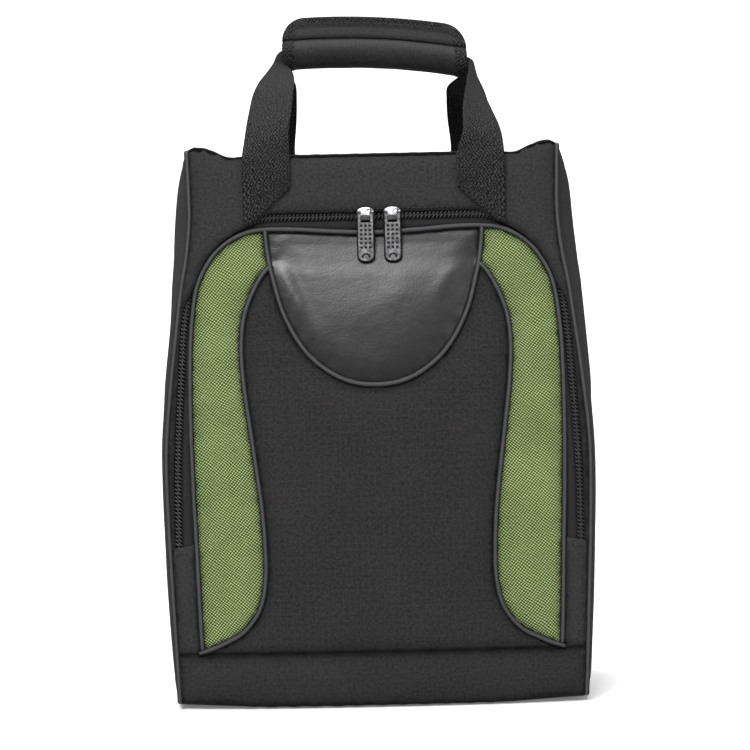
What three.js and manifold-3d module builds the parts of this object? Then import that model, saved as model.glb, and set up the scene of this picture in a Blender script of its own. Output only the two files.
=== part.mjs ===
// Golf shoe bag: a soft upright box with a zipped front door, two webbing straps and a padded grip.
//
// Millimetres, +Z up. The front faces -Y and the origin is the middle of the base's underside.
// Left and right are as seen from the front. The front and back walls are drawn flat in panel
// frames (x across, y up the wall, z outwards), which lean the walls in towards the top.

import * as THREE from "three";
import { mergeVertices } from "three/addons/utils/BufferGeometryUtils.js";
import Module from "manifold-3d";

const wasm = await Module();
wasm.setup();

// Driving dimensions of the body
const BASE_DEPTH = 150;
const TOP_DEPTH = 124;
const TOP_SEAM = 367.8; // height of the top seam between the straps
const EAR_RISE = 6; // how far the top corners stand above the seam
const EAR_START = 92; // half width at which the seam begins to rise
const EAR_TOP = 373.8;
const BASE_THICKNESS = 2.8;
const WALL_BOTTOM = 3.2; // the walls start just above the base panel
const BAND_TOP = 36; // seam between the bottom band and the panels above it
const FOLD_HEIGHT = 105; // both zip ends, and the line that the door folds along
const FABRIC = 2.4; // padded panel thickness
const GUSSET_FABRIC = 2.2;
const GAP = 0.35; // clearance between neighbouring pieces
const LEAN = Math.atan2((BASE_DEPTH - TOP_DEPTH) / 2, TOP_SEAM);

// Pipings: covered cords sewn into the seams
const PIPING_RADIUS = 2.1;
const PIPING_OUT = 1.2; // the cord's centre, outwards of the panel's back face
const CHANNEL = PIPING_RADIUS + 0.4; // panels stop this far from a piping's centre line
const PIPING_SIDES = 6;

// Zip: coil halves lying on two tapes behind the panels
const TAPE_BACK = -2.2;
const TAPE_FRONT = -1.2;
const COIL_BACK = -0.85;
const COIL_FRONT = 1.5;
const COIL_INNER_EDGE = 0.45; // half of the slot that the slider's post runs in
const COIL_OUTER_EDGE = 1.9;
const TAPE_WIDTH = 7.5;
const HEADER_INSET = 4.9; // the header's edge, measured from the middle of the zip
const ZIP_TOP = 325.6;
const SLIDER_MEETING_X = 3.8;
const SLIDER_SPACING = 18;
const END_TAB_HEIGHT = 6;

// Handle
const STRAP_X = 71.5;
const STRAP_HALF_WIDTH = 16;
const STRAP_THICKNESS = 1.6;
const ANCHOR_BOTTOM = 331.5;
const ANCHOR_TOP = 365;
const ANCHOR_BACK = FABRIC + 0.4;
const GRIP_HALF_LENGTH = 64.4;
const GRIP_TUBE_RADIUS = 10.4;
const GRIP_TUBE_HEIGHT = 443.4;
const GRIP_BORE_RADIUS = 7;
const GRIP_TOP = 468.5;
const GRIP_CORNER = 12;
const FIN_INNER = 1.3;
const FIN_OUTER = 3.6;
const FLAP_BOTTOM = 454.3;

// Colours, all dark but for the mesh, the leather patch and the zip pulls
const COLOURS = {
  panel: [0x3b3b3c, 0.9, 0],
  ripstop: [0x353334, 0.85, 0],
  band: [0x363636, 0.85, 0],
  mesh: [0x8a9a60, 0.8, 0],
  leather: [0x5d5b5b, 0.4, 0],
  piping: [0x2c2c30, 0.6, 0],
  tape: [0x252527, 0.9, 0],
  coil: [0x202022, 0.5, 0],
  webbing: [0x323233, 0.9, 0],
  grip: [0x303032, 0.85, 0],
  lining: [0x2e2e30, 0.9, 0],
  board: [0x222222, 0.6, 0],
  metal: [0xa8a8ac, 0.35, 1],
};

// Half outlines in the panel frame, each from its lower end up and in to the middle: [x, height]
const SIDE_LINE = [
  [134.5, 0], [137.5, 60], [140.2, 120], [141, 170], [137.5, 212],
  [133, 250], [129, 280], [125, 300], [122, 325], [121.5, EAR_TOP],
];
const DOOR_LINE = [
  [118.6, 30], [120.4, 70], [121.6, 105], [123, 140], [124.1, 185], [124, 222], [122.8, 250],
  [119, 278], [111.5, 295], [102, 306.5], [90, 314], [77, 317.4], [57, 317.6], [28, 315.6], [0, 314.4],
];
const ZIP_LINE = [
  [133.6, 100], [133.6, 150], [132.2, 185], [130.3, 215], [128.2, 245], [126, 264],
  [122.4, 282], [115, 298.2], [104.9, 310.3], [92, 319], [81, 323.6], [70, ZIP_TOP], [35, ZIP_TOP], [0, ZIP_TOP],
];
const CENTRE_LINE = [
  [122, 36.6], [112, 40], [105, 43], [91.5, 50.5], [80.5, 65], [76.2, 84], [76, 105], [77.5, 130],
  [80.5, 155], [84.5, 185], [88, 212], [89.5, 236], [88, 256], [83, 272], [76, 285.5], [68.8, 293.8],
];
const SHIELD_LINE = [[72.8, 320], [71.2, 303], [67.8, 285], [60, 258.5], [45, 233.5], [23.4, 217.2], [0, 212.5]];
// How far the stuffed side panels bulge out at mid depth: [bulge, height]
const BULGE_LINE = [[7, 0], [9, 60], [9, 180], [11, 215], [13, 260], [16, 300], [15, 325], [11, 350], [6, EAR_TOP]];
// Centre line and half-width vector of a front strap's free part, on the right side
const STRAP_STATIONS = [
  { at: [71.5, -65.9, 366.6], across: [16, 0, 0] },
  { at: [71.8, -61.9, 380], across: [16, 0.5, 0] },
  { at: [71.5, -51, 396], across: [14.8, 4, 1.5] },
  { at: [70.5, -38, 412], across: [12.6, 6.5, 4] },
  { at: [69.5, -24, 426], across: [9, 6.5, 6.5] },
  { at: [68.6, -11.5, 436.5], across: [4.5, 4, 7.5] },
  { at: [66.6, -4.6, 442.6], across: [1.5, 1.2, 6.2] },
  { at: [65.2, -3.4, 443.5], across: [0, 0, 5.4] },
];

// Solids

/** The exact solid of a closed geometry. */
function toSolid(geometry) {
  const bare = new THREE.BufferGeometry();
  bare.setAttribute("position", geometry.getAttribute("position"));
  if (geometry.index) bare.setIndex(geometry.index);
  const merged = mergeVertices(bare, 1e-4);
  const vertProperties = merged.getAttribute("position").array;
  return new wasm.Manifold(new wasm.Mesh({ numProp: 3, vertProperties, triVerts: merged.index.array }));
}

/** A geometry with flat faces, from a solid. */
function toGeometry(solid) {
  const { vertProperties, triVerts } = solid.getMesh();
  const geometry = new THREE.BufferGeometry();
  geometry.setAttribute("position", new THREE.BufferAttribute(new Float32Array(vertProperties), 3));
  geometry.setIndex(new THREE.BufferAttribute(new Uint32Array(triVerts), 1));
  geometry.computeVertexNormals();
  return geometry;
}

/** The largest single body of a solid, without the slivers that cutting leaves. */
function mainBody(solid) {
  return solid.decompose().reduce((best, body) => (body.volume() > best.volume() ? body : best));
}

/** A closed geometry over vertex triples, with its faces turned outwards. */
function closedGeometry(positions, faces) {
  const geometry = new THREE.BufferGeometry();
  geometry.setAttribute("position", new THREE.Float32BufferAttribute(positions.flat(), 3));
  const corner = faces.map((face) => face.map((index) => new THREE.Vector3(...positions[index])));
  const volume = corner.reduce((sum, [a, b, c]) => sum + a.dot(b.cross(c)), 0);
  const outward = volume > 0 ? faces : faces.map(([a, b, c]) => [a, c, b]);
  geometry.setIndex(outward.flat());
  geometry.computeVertexNormals();
  return geometry;
}

/** A thick curved sheet. surface(u, v) gives its outer and inner point, with u and v from 0 to 1. */
function sheetGeometry(surface, acrossSteps, upSteps) {
  const positions = [];
  for (const side of ["outer", "inner"]) {
    for (let v = 0; v <= upSteps; v++) {
      for (let u = 0; u <= acrossSteps; u++) positions.push(surface(u / acrossSteps, v / upSteps)[side]);
    }
  }
  const layer = (acrossSteps + 1) * (upSteps + 1);
  const at = (u, v, inner) => v * (acrossSteps + 1) + u + (inner ? layer : 0);
  const faces = [];
  const quad = (a, b, c, d) => faces.push([a, b, c], [a, c, d]);
  for (let v = 0; v < upSteps; v++) {
    for (let u = 0; u < acrossSteps; u++) {
      quad(at(u, v), at(u + 1, v), at(u + 1, v + 1), at(u, v + 1));
      quad(at(u, v, true), at(u, v + 1, true), at(u + 1, v + 1, true), at(u + 1, v, true));
    }
    quad(at(0, v), at(0, v + 1), at(0, v + 1, true), at(0, v, true));
    quad(at(acrossSteps, v), at(acrossSteps, v, true), at(acrossSteps, v + 1, true), at(acrossSteps, v + 1));
  }
  for (let u = 0; u < acrossSteps; u++) {
    quad(at(u, 0), at(u, 0, true), at(u + 1, 0, true), at(u + 1, 0));
    quad(at(u, upSteps), at(u + 1, upSteps), at(u + 1, upSteps, true), at(u, upSteps, true));
  }
  return closedGeometry(positions, faces);
}

// Lines and plans in a panel frame

const toPoints = (pairs) => pairs.map(([x, y]) => new THREE.Vector2(x, y));
const mirror = (pairs) => pairs.map(([x, y]) => [-x, y]).reverse();
const smooth = (pairs, steps) => new THREE.SplineCurve(toPoints(pairs)).getSpacedPoints(steps);
const whole = (half, steps) => smooth([...half, ...mirror(half).slice(1)], steps);

/** A line moved sideways, to the left of its direction of travel. */
function offsetLine(line, distance) {
  return line.map((point, index) => {
    const before = line[Math.max(index - 1, 0)];
    const after = line[Math.min(index + 1, line.length - 1)];
    const along = after.clone().sub(before).normalize();
    return new THREE.Vector2(point.x - along.y * distance, point.y + along.x * distance);
  });
}

/** A straight-sided cutter over an outline, deep enough to pass through every layer of a wall. */
function plan(outline) {
  const reach = 20;
  const geometry = new THREE.ExtrudeGeometry(new THREE.Shape(outline), { depth: 2 * reach, bevelEnabled: false });
  return toSolid(geometry.translate(0, 0, -reach));
}

/** The plan between two lines that run beside one line. */
function ribbon(line, from, to) {
  return plan([...offsetLine(line, from), ...offsetLine(line, to).reverse()]);
}

/** The part of a plan between two depths, as one layer of a wall. */
const layer = (shape, back, front) => shape.trimByPlane([0, 0, 1], back).trimByPlane([0, 0, -1], -front);
const above = (shape, height) => shape.trimByPlane([0, 1, 0], height + GAP);
const below = (shape, height) => shape.trimByPlane([0, -1, 0], GAP - height);
const sideOf = (shape, side) => shape.trimByPlane([side, 0, 0], 0);

/** A round piping along a line. */
function piping(line, steps) {
  const path = new THREE.CatmullRomCurve3(line.map(({ x, y }) => new THREE.Vector3(x, y, PIPING_OUT)));
  const corners = Array.from({ length: PIPING_SIDES }, (_, index) => {
    const angle = (index / PIPING_SIDES) * 2 * Math.PI;
    return new THREE.Vector2(Math.cos(angle), Math.sin(angle)).multiplyScalar(PIPING_RADIUS);
  });
  return toSolid(new THREE.ExtrudeGeometry(new THREE.Shape(corners), { steps, extrudePath: path }));
}

/** Value at a height on a smooth [value, height] line. */
function valueAt(line, height) {
  const next = line.findIndex(({ y }) => y >= height);
  if (next < 1) return next === 0 ? line[0].x : line[line.length - 1].x;
  const [low, high] = [line[next - 1], line[next]];
  return THREE.MathUtils.mapLinear(height, low.y, high.y, low.x, high.x);
}

const topSeam = (x) => TOP_SEAM + EAR_RISE * THREE.MathUtils.smoothstep(Math.abs(x), EAR_START, 121);

const sideLine = smooth(SIDE_LINE, 30);
const bulgeLine = smooth(BULGE_LINE, 30);
const doorLine = whole(DOOR_LINE, 64);
const zipLine = whole(ZIP_LINE, 64);
const shieldLine = whole(SHIELD_LINE, 26);
const centreLine = smooth(CENTRE_LINE, 34);
const leftCentreLine = centreLine.map(({ x, y }) => new THREE.Vector2(-x, y));
const leftSideLine = sideLine.map(({ x, y }) => new THREE.Vector2(-x, y));
const topLine = Array.from({ length: 21 }, (_, index) => {
  const x = 121.5 * (1 - index / 10);
  return new THREE.Vector2(x, topSeam(x));
});

const wallPlan = plan([...sideLine.slice(0, -1), ...topLine, ...leftSideLine.slice(0, -1).reverse()])
  .subtract(ribbon(sideLine, -CHANNEL, CHANNEL))
  .subtract(ribbon(leftSideLine, -CHANNEL, CHANNEL));
const doorOutline = plan(doorLine);
const doorChannel = ribbon(doorLine, -CHANNEL, CHANNEL);
const shieldChannel = ribbon(shieldLine, -CHANNEL, CHANNEL);
const centreChannels = ribbon(centreLine, -CHANNEL, CHANNEL).add(ribbon(leftCentreLine, -CHANNEL, CHANNEL));
const insideDoor = doorOutline.subtract(doorChannel);
const shieldOutline = plan(shieldLine);
const centreOutline = plan([...centreLine, ...leftCentreLine.slice().reverse()]);
const outsideDoor = wallPlan.subtract(doorOutline).subtract(doorChannel);

// Plans of the front wall's panels, before the fold line parts them
const centrePlan = above(insideDoor.intersect(centreOutline), BAND_TOP)
  .subtract(shieldOutline)
  .subtract(shieldChannel)
  .subtract(centreChannels);
const meshPlan = above(insideDoor, BAND_TOP)
  .subtract(centreOutline)
  .subtract(shieldOutline)
  .subtract(shieldChannel)
  .subtract(centreChannels);
const centrePipings = { right: piping(centreLine, 34), left: piping(leftCentreLine, 34) };
const SIDES = [["left", -1], ["right", 1]];

// Assembly

const bag = new THREE.Group();
const front = new THREE.Group();
front.position.y = -BASE_DEPTH / 2;
front.rotation.x = Math.PI / 2 - LEAN;
const rear = new THREE.Group();
rear.rotation.z = Math.PI;
const back = new THREE.Group();
back.position.copy(front.position);
back.rotation.copy(front.rotation);
rear.add(back);
bag.add(front, rear);

function addPiece(parent, name, shape, colour) {
  const [color, roughness, metalness] = COLOURS[colour];
  const material = new THREE.MeshStandardMaterial({ color, roughness, metalness });
  const geometry = shape.isBufferGeometry ? shape : toGeometry(mainBody(shape));
  const piece = new THREE.Mesh(geometry, material);
  piece.name = name;
  parent.add(piece);
  return piece;
}

/** A point of the front wall in the bag's frame. */
function frontPoint(x, height, outwards) {
  const y = -BASE_DEPTH / 2 + height * Math.sin(LEAN) - outwards * Math.cos(LEAN);
  return [x, y, height * Math.cos(LEAN) + outwards * Math.sin(LEAN)];
}

function addBase() {
  // The base's ends bow out to meet the stuffed side panels
  const steps = 8;
  const plate = (halfWidth, halfDepth, bow, thickness, bottom) => {
    const end = Array.from({ length: steps + 1 }, (_, index) => {
      const turn = (index / steps - 0.5) * Math.PI;
      return new THREE.Vector2(halfWidth + bow * Math.cos(turn), halfDepth * Math.sin(turn));
    });
    const outline = new THREE.Shape([...end, ...end.map(({ x, y }) => new THREE.Vector2(-x, y)).reverse()]);
    const geometry = new THREE.ExtrudeGeometry(outline, { depth: thickness, bevelEnabled: false });
    return toSolid(geometry.translate(0, 0, bottom));
  };
  addPiece(bag, "base_panel", plate(134, 74, 6.5, BASE_THICKNESS, 0), "band");
  addPiece(bag, "base_board", plate(127, 68, 4, 2, WALL_BOTTOM), "board");
}

function addGussets() {
  const reach = 1.2; // the side panel's edge lies this far behind the wall's back face
  const upTo = EAR_TOP - 0.4;
  for (const [name, side] of SIDES) {
    const surface = (u, v) => {
      const height = WALL_BOTTOM + v * (upTo - WALL_BOTTOM);
      const [, yFront, z] = frontPoint(0, height, -reach);
      const bulge = valueAt(bulgeLine, height) * Math.sin(Math.PI * u);
      const x = valueAt(sideLine, height) + 0.8 + bulge;
      const y = THREE.MathUtils.lerp(yFront, -yFront, u);
      return { outer: [side * x, y, z], inner: [side * (x - GUSSET_FABRIC), y, z] };
    };
    addPiece(bag, `${name}_side_panel`, sheetGeometry(surface, 6, 14), "panel");
  }
}

function addTopPanel() {
  const surface = (u, v) => {
    const y = (TOP_DEPTH / 2 - 0.8) * (2 * v - 1);
    const reach = 119.2 + 5.2 * Math.cos((Math.PI * y) / TOP_DEPTH);
    const x = reach * (2 * u - 1);
    const z = topSeam(x) - 0.6;
    return { outer: [x, y, z], inner: [x, y, z - FABRIC] };
  };
  addPiece(bag, "top_panel", sheetGeometry(surface, 14, 4), "panel");
}

function addWallPipings() {
  for (const [wallName, wall] of [["front", front], ["back", back]]) {
    for (const [name, side] of SIDES) {
      // Seen in the back wall's own frame, left and right change places
      const line = side * (wall === front ? 1 : -1) > 0 ? sideLine : leftSideLine;
      const tube = piping(line, 16).trimByPlane([0, 1, 0], WALL_BOTTOM);
      addPiece(wall, `${name}_${wallName}_edge_piping`, tube, "piping");
    }
  }
}

function addBackWall() {
  const wall = wallPlan.trimByPlane([0, 1, 0], WALL_BOTTOM);
  addPiece(back, "back_panel", layer(wall, 0, FABRIC), "panel");
  const inset = 10;
  const boardLine = sideLine.map(({ x, y }) => new THREE.Vector2(x - inset, y));
  const board = plan([...boardLine, ...boardLine.map(({ x, y }) => new THREE.Vector2(-x, y)).reverse()]);
  const trimmed = board.trimByPlane([0, 1, 0], inset).trimByPlane([0, -1, 0], inset - TOP_SEAM);
  addPiece(back, "back_foam", layer(trimmed, -3.6, -0.5), "lining");
}

function addFixedFront() {
  const band = below(wallPlan.trimByPlane([0, 1, 0], WALL_BOTTOM), BAND_TOP);
  addPiece(front, "bottom_band", layer(band, 0, FABRIC), "band");
  const headerCut = plan(offsetLine(zipLine, -HEADER_INSET));
  addPiece(front, "header_panel", layer(above(wallPlan.subtract(headerCut), FOLD_HEIGHT), 0, FABRIC), "panel");
  for (const [name, side] of SIDES) {
    const strip = sideOf(outsideDoor, side);
    const lower = above(below(strip, FOLD_HEIGHT - END_TAB_HEIGHT), BAND_TOP);
    addPiece(front, `${name}_side_strip`, layer(lower, 0, FABRIC), "panel");
    const tab = above(below(strip, FOLD_HEIGHT), FOLD_HEIGHT - END_TAB_HEIGHT);
    addPiece(front, `${name}_zip_end_tab`, layer(tab, 0, FABRIC + 0.5), "tape");
    const mesh = below(sideOf(meshPlan, side), FOLD_HEIGHT);
    addPiece(front, `${name}_lower_mesh`, layer(mesh, 0, FABRIC), "mesh");
    const edge = below(above(sideOf(piping(doorLine, 64), side), BAND_TOP), FOLD_HEIGHT);
    addPiece(front, `${name}_lower_door_piping`, edge, "piping");
    const inner = below(above(centrePipings[name], BAND_TOP), FOLD_HEIGHT).subtract(doorChannel);
    addPiece(front, `${name}_lower_centre_piping`, inner, "piping");
  }
  addPiece(front, "lower_centre_panel", layer(below(centrePlan, FOLD_HEIGHT), 0, FABRIC), "ripstop");
}

function addZip() {
  const fixed = above(ribbon(zipLine, -COIL_INNER_EDGE, -TAPE_WIDTH).intersect(wallPlan), FOLD_HEIGHT);
  addPiece(front, "outer_zip_tape", layer(fixed, TAPE_BACK, TAPE_FRONT), "tape");
  const moving = above(ribbon(zipLine, COIL_INNER_EDGE, TAPE_WIDTH), FOLD_HEIGHT);
  addPiece(front, "door_zip_tape", layer(moving, TAPE_BACK, TAPE_FRONT), "tape");
  const coil = (turn) => above(ribbon(zipLine, turn * COIL_INNER_EDGE, turn * COIL_OUTER_EDGE), FOLD_HEIGHT);
  addPiece(front, "outer_zip_coil", layer(coil(-1), COIL_BACK, COIL_FRONT), "coil");
  addPiece(front, "door_zip_coil", layer(coil(1), COIL_BACK, COIL_FRONT), "coil");
}

function addDoor() {
  addPiece(front, "door_centre_panel", layer(above(centrePlan, FOLD_HEIGHT), 0, FABRIC), "ripstop");
  const shield = insideDoor.intersect(shieldOutline).subtract(shieldChannel);
  addPiece(front, "leather_shield", layer(shield, 0, FABRIC), "leather");
  addPiece(front, "door_edge_piping", above(piping(doorLine, 64), FOLD_HEIGHT), "piping");
  addPiece(front, "shield_piping", piping(shieldLine, 26).subtract(doorChannel), "piping");
  const liningPlan = above(plan(offsetLine(zipLine, TAPE_WIDTH + 0.5)), FOLD_HEIGHT);
  addPiece(front, "door_lining", layer(liningPlan, TAPE_BACK, -0.5 - PIPING_RADIUS + PIPING_OUT), "lining");
  for (const [name, side] of SIDES) {
    const mesh = above(sideOf(meshPlan, side), FOLD_HEIGHT);
    addPiece(front, `${name}_door_mesh`, layer(mesh, 0, FABRIC), "mesh");
    const inner = above(centrePipings[name], FOLD_HEIGHT).subtract(shieldChannel);
    addPiece(front, `${name}_centre_piping`, inner, "piping");
  }
}

/** A slider: a front plate with an arched crown, and a post to a back plate behind the door's tape. */
function sliderSolid() {
  const box = (width, height, depth, x, y, z) =>
    toSolid(new THREE.BoxGeometry(width, height, depth).translate(x, y, z));
  const half = new THREE.Vector2(5.4, 3.7);
  const outline = new THREE.Shape().absellipse(0, 0, half.x, half.y, 0, 2 * Math.PI);
  const extrude = { depth: 1.2, bevelEnabled: false, curveSegments: 12 };
  const plate = toSolid(new THREE.ExtrudeGeometry(outline, extrude).translate(0, 0, 1.8));
  const roller = (radius, width) =>
    toSolid(new THREE.CylinderGeometry(radius, radius, width, 20).rotateZ(Math.PI / 2).translate(0, 0, 3));
  const crown = roller(4.1, 5.6).subtract(roller(2.8, 8)).trimByPlane([0, 0, 1], 2.4);
  return plate
    .add(crown)
    .add(box(3, 0.4, 5.2, 0, 0, -0.4))
    .add(box(9, 4.6, 1, 0, -2.1, -3.1));
}

/** A zip pull: a flat tab with a window for the crown, rows of pits and an arched slot near its end. */
function pullSolid() {
  const halfWidth = 4.9;
  const length = 30.5;
  const front = 5.4;
  const thickness = 1.6;
  const outline = new THREE.Shape();
  outline.moveTo(-halfWidth, 0.8).lineTo(-halfWidth, 4 - length);
  outline.quadraticCurveTo(-halfWidth, -length, 0, -length);
  outline.quadraticCurveTo(halfWidth, -length, halfWidth, 4 - length);
  outline.lineTo(halfWidth, 0.8);
  const window = new THREE.Path(toPoints([[-3.3, -0.8], [3.3, -0.8], [3.3, -4.9], [-3.3, -4.9]]));
  const slot = new THREE.Path();
  slot.absarc(0, 2.4 - length, 3, 0, Math.PI, false);
  slot.absarc(0, 2.4 - length, 1.6, Math.PI, 0, true);
  outline.holes.push(window, slot);
  const extrude = { depth: thickness, bevelEnabled: false, curveSegments: 5 };
  let tab = toSolid(new THREE.ExtrudeGeometry(outline, extrude).translate(0, 0, front - thickness));
  for (let row = 0; row < 6; row++) {
    for (const column of [-1, 0, 1]) {
      const pit = new THREE.ConeGeometry(1, 1.4, 4).rotateX(-Math.PI / 2);
      tab = tab.subtract(toSolid(pit.translate(2.9 * column, -7 - 2.9 * row, front + 0.1)));
    }
  }
  return tab;
}

function addSliders() {
  for (const [name, side] of SIDES) {
    const carriage = new THREE.Group();
    carriage.position.set(SLIDER_MEETING_X + (side * SLIDER_SPACING) / 2, ZIP_TOP, 0);
    front.add(carriage);
    addPiece(carriage, `${name}_zip_slider`, sliderSolid(), "metal");
    addPiece(carriage, `${name}_zip_pull`, pullSolid(), "metal");
  }
}

/** The sewn foot of a strap. */
function anchorSolid(side) {
  const [low, high] = [side * STRAP_X - STRAP_HALF_WIDTH, side * STRAP_X + STRAP_HALF_WIDTH];
  const outline = toPoints([[low, ANCHOR_BOTTOM], [high, ANCHOR_BOTTOM], [high, ANCHOR_TOP], [low, ANCHOR_TOP]]);
  return layer(plan(outline), ANCHOR_BACK, ANCHOR_BACK + STRAP_THICKNESS);
}

/** The free part of a strap, from its foot to the end of the grip. */
function strapGeometry(side, facing, stations) {
  const point = ([x, y, z]) => new THREE.Vector3(side * x, facing * y, z);
  const middle = new THREE.CatmullRomCurve3(stations.map(({ at }) => point(at)));
  const across = new THREE.CatmullRomCurve3(stations.map((station) => point(station.across)));
  const surface = (u, v) => {
    const width = across.getPoint(v);
    const normal = middle.getTangent(v).cross(width).normalize();
    const centre = middle.getPoint(v).addScaledVector(width, 2 * u - 1);
    const halfThickness = STRAP_THICKNESS / 2;
    return {
      outer: centre.clone().addScaledVector(normal, halfThickness).toArray(),
      inner: centre.addScaledVector(normal, -halfThickness).toArray(),
    };
  };
  return sheetGeometry(surface, 2, 16);
}

function addStraps() {
  const backStations = [{ at: [71.5, -64.6, 369.9], across: [16, 0, 0] }, ...STRAP_STATIONS.slice(1)];
  for (const [name, side] of SIDES) {
    addPiece(front, `${name}_front_strap_foot`, anchorSolid(side), "webbing");
    addPiece(back, `${name}_back_strap_foot`, anchorSolid(-side), "webbing");
    addPiece(bag, `${name}_front_strap`, strapGeometry(side, 1, STRAP_STATIONS), "webbing");
    addPiece(bag, `${name}_back_strap`, strapGeometry(side, -1, backStations), "webbing");
  }
}

function addGrip() {
  // The grip's section is drawn with x pointing back and y pointing up, and runs along the bag's X
  const grip = new THREE.Group();
  grip.setRotationFromMatrix(new THREE.Matrix4().makeBasis(
    new THREE.Vector3(0, 1, 0), new THREE.Vector3(0, 0, 1), new THREE.Vector3(1, 0, 0)));
  bag.add(grip);
  const lengthwise = (outline, halfLength) => toSolid(new THREE.ExtrudeGeometry(outline, {
    depth: 2 * halfLength, bevelEnabled: false, curveSegments: 10,
  }).translate(0, 0, -halfLength));
  const rectangle = (low, high, bottom, top) =>
    new THREE.Shape(toPoints([[low, bottom], [high, bottom], [high, top], [low, top]]));

  // Side view of the whole wrap, with its two rounded top corners
  const profile = new THREE.Shape();
  profile.moveTo(-GRIP_HALF_LENGTH, GRIP_TUBE_HEIGHT - 20).lineTo(GRIP_HALF_LENGTH, GRIP_TUBE_HEIGHT - 20);
  profile.absarc(GRIP_HALF_LENGTH - GRIP_CORNER, GRIP_TOP - GRIP_CORNER, GRIP_CORNER, 0, Math.PI / 2);
  profile.absarc(GRIP_CORNER - GRIP_HALF_LENGTH, GRIP_TOP - GRIP_CORNER, GRIP_CORNER, Math.PI / 2, Math.PI);
  const sideCut = toSolid(new THREE.ExtrudeGeometry(profile, { depth: 60, bevelEnabled: false, curveSegments: 6 })
    .translate(0, 0, -30).rotateY(-Math.PI / 2));

  const tube = new THREE.Shape().absarc(0, GRIP_TUBE_HEIGHT, GRIP_TUBE_RADIUS, 0, 2 * Math.PI);
  const bore = new THREE.Shape().absarc(0, GRIP_TUBE_HEIGHT, GRIP_BORE_RADIUS, 0, 2 * Math.PI);
  const rearFin = lengthwise(rectangle(FIN_INNER, FIN_OUTER, GRIP_TUBE_HEIGHT + 9, GRIP_TOP), GRIP_HALF_LENGTH);
  const pad = lengthwise(tube, GRIP_HALF_LENGTH)
    .add(rearFin.intersect(sideCut))
    .subtract(lengthwise(bore, GRIP_HALF_LENGTH + 1));
  addPiece(grip, "grip_pad", pad, "grip");
  const flap = lengthwise(rectangle(-FIN_OUTER, -FIN_INNER, FLAP_BOTTOM, GRIP_TOP), GRIP_HALF_LENGTH);
  addPiece(grip, "grip_flap", flap.intersect(sideCut), "grip");
  addPiece(grip, "hook_strip", lengthwise(rectangle(0.2, 0.95, GRIP_TOP - 12, GRIP_TOP - 2.5), 48), "tape");
  addPiece(grip, "loop_strip", lengthwise(rectangle(-0.95, -0.2, GRIP_TOP - 12, GRIP_TOP - 2.5), 48), "tape");
  const core = rectangle(-3.6, 3.6, GRIP_TUBE_HEIGHT - 5, GRIP_TUBE_HEIGHT + 5);
  addPiece(grip, "strap_core", lengthwise(core, GRIP_HALF_LENGTH - 0.5), "webbing");
}

addBase();
addGussets();
addTopPanel();
addWallPipings();
addBackWall();
addFixedFront();
addZip();
addDoor();
addSliders();
addStraps();
addGrip();

export default bag;
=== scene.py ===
"""Looks of the golf shoe bag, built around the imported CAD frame.

Shapes are worked out in millimetres and scaled once, when a mesh is made. The bag stands on z = 0 and
its front faces -y. A wall's own plane has x across and h up the wall, and "out" is away from the bag.
"""

import math

import bpy
import numpy as np
from mathutils import Matrix, Vector, geometry, noise


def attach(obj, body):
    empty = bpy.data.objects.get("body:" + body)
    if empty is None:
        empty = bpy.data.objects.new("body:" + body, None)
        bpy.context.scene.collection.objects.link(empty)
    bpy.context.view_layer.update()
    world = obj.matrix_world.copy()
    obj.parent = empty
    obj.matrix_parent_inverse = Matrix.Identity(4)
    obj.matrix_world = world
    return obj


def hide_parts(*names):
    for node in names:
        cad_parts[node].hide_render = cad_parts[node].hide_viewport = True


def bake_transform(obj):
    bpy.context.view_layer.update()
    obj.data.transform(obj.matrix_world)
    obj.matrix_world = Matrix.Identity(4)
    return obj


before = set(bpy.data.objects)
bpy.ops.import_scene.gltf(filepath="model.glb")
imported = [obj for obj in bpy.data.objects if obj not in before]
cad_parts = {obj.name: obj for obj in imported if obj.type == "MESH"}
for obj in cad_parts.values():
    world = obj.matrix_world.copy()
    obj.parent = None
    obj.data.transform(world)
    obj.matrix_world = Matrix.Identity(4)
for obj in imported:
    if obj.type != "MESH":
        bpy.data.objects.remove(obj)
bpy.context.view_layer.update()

MM = 0.001
UV_NAME = "cloth_mm"
# Name of the mesh attribute that holds the painted seam shade
SEAM_SHADE_NAME = "seam"
SIDES = (("left", -1), ("right", 1))

# Walls
BASE_DEPTH = 150
TOP_DEPTH = 124
TOP_SEAM = 367.8
TOP_HALF = 124
LEAN = math.atan2((BASE_DEPTH - TOP_DEPTH) / 2, TOP_SEAM)
EAR_RISE = 6.6
BOTTOM_EDGE = 1.2
CORNER_LIFT = 3.2
BAND_TOP = 36
FOLD_HEIGHT = 105
FRONT_SWELL = 10.5
SWELL_TOP = 306
BACK_SWELL = 5.0
PANEL_THICKNESS = 1.8
NET_SPACING = 3.6
LINE_SPACING = 2.6

# Zip
ZIP_TOP = 325.6
HEADER_INSET = 2.7
CORNER_INSET = -2.5
TAPE_EDGE = 10.6
TOOTH_PITCH = 2.6
PULL_X = 3.8
PULL_SPACING = 18
PULL_HALF_WIDTH = 5.0
PULL_END = ZIP_TOP - 30.5
PIT_SPACING = 2.9
PIT_TOP = ZIP_TOP - 7
SHADE_CORD_RADIUS = 0.95
END_TAB_INNER = 123.6
END_TAB_OUTER = 137.2
END_TAB_SLANT = 2.5

# Pipings
PIPING_RADIUS = 1.75
PIPING_OUT = 1.3

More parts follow.
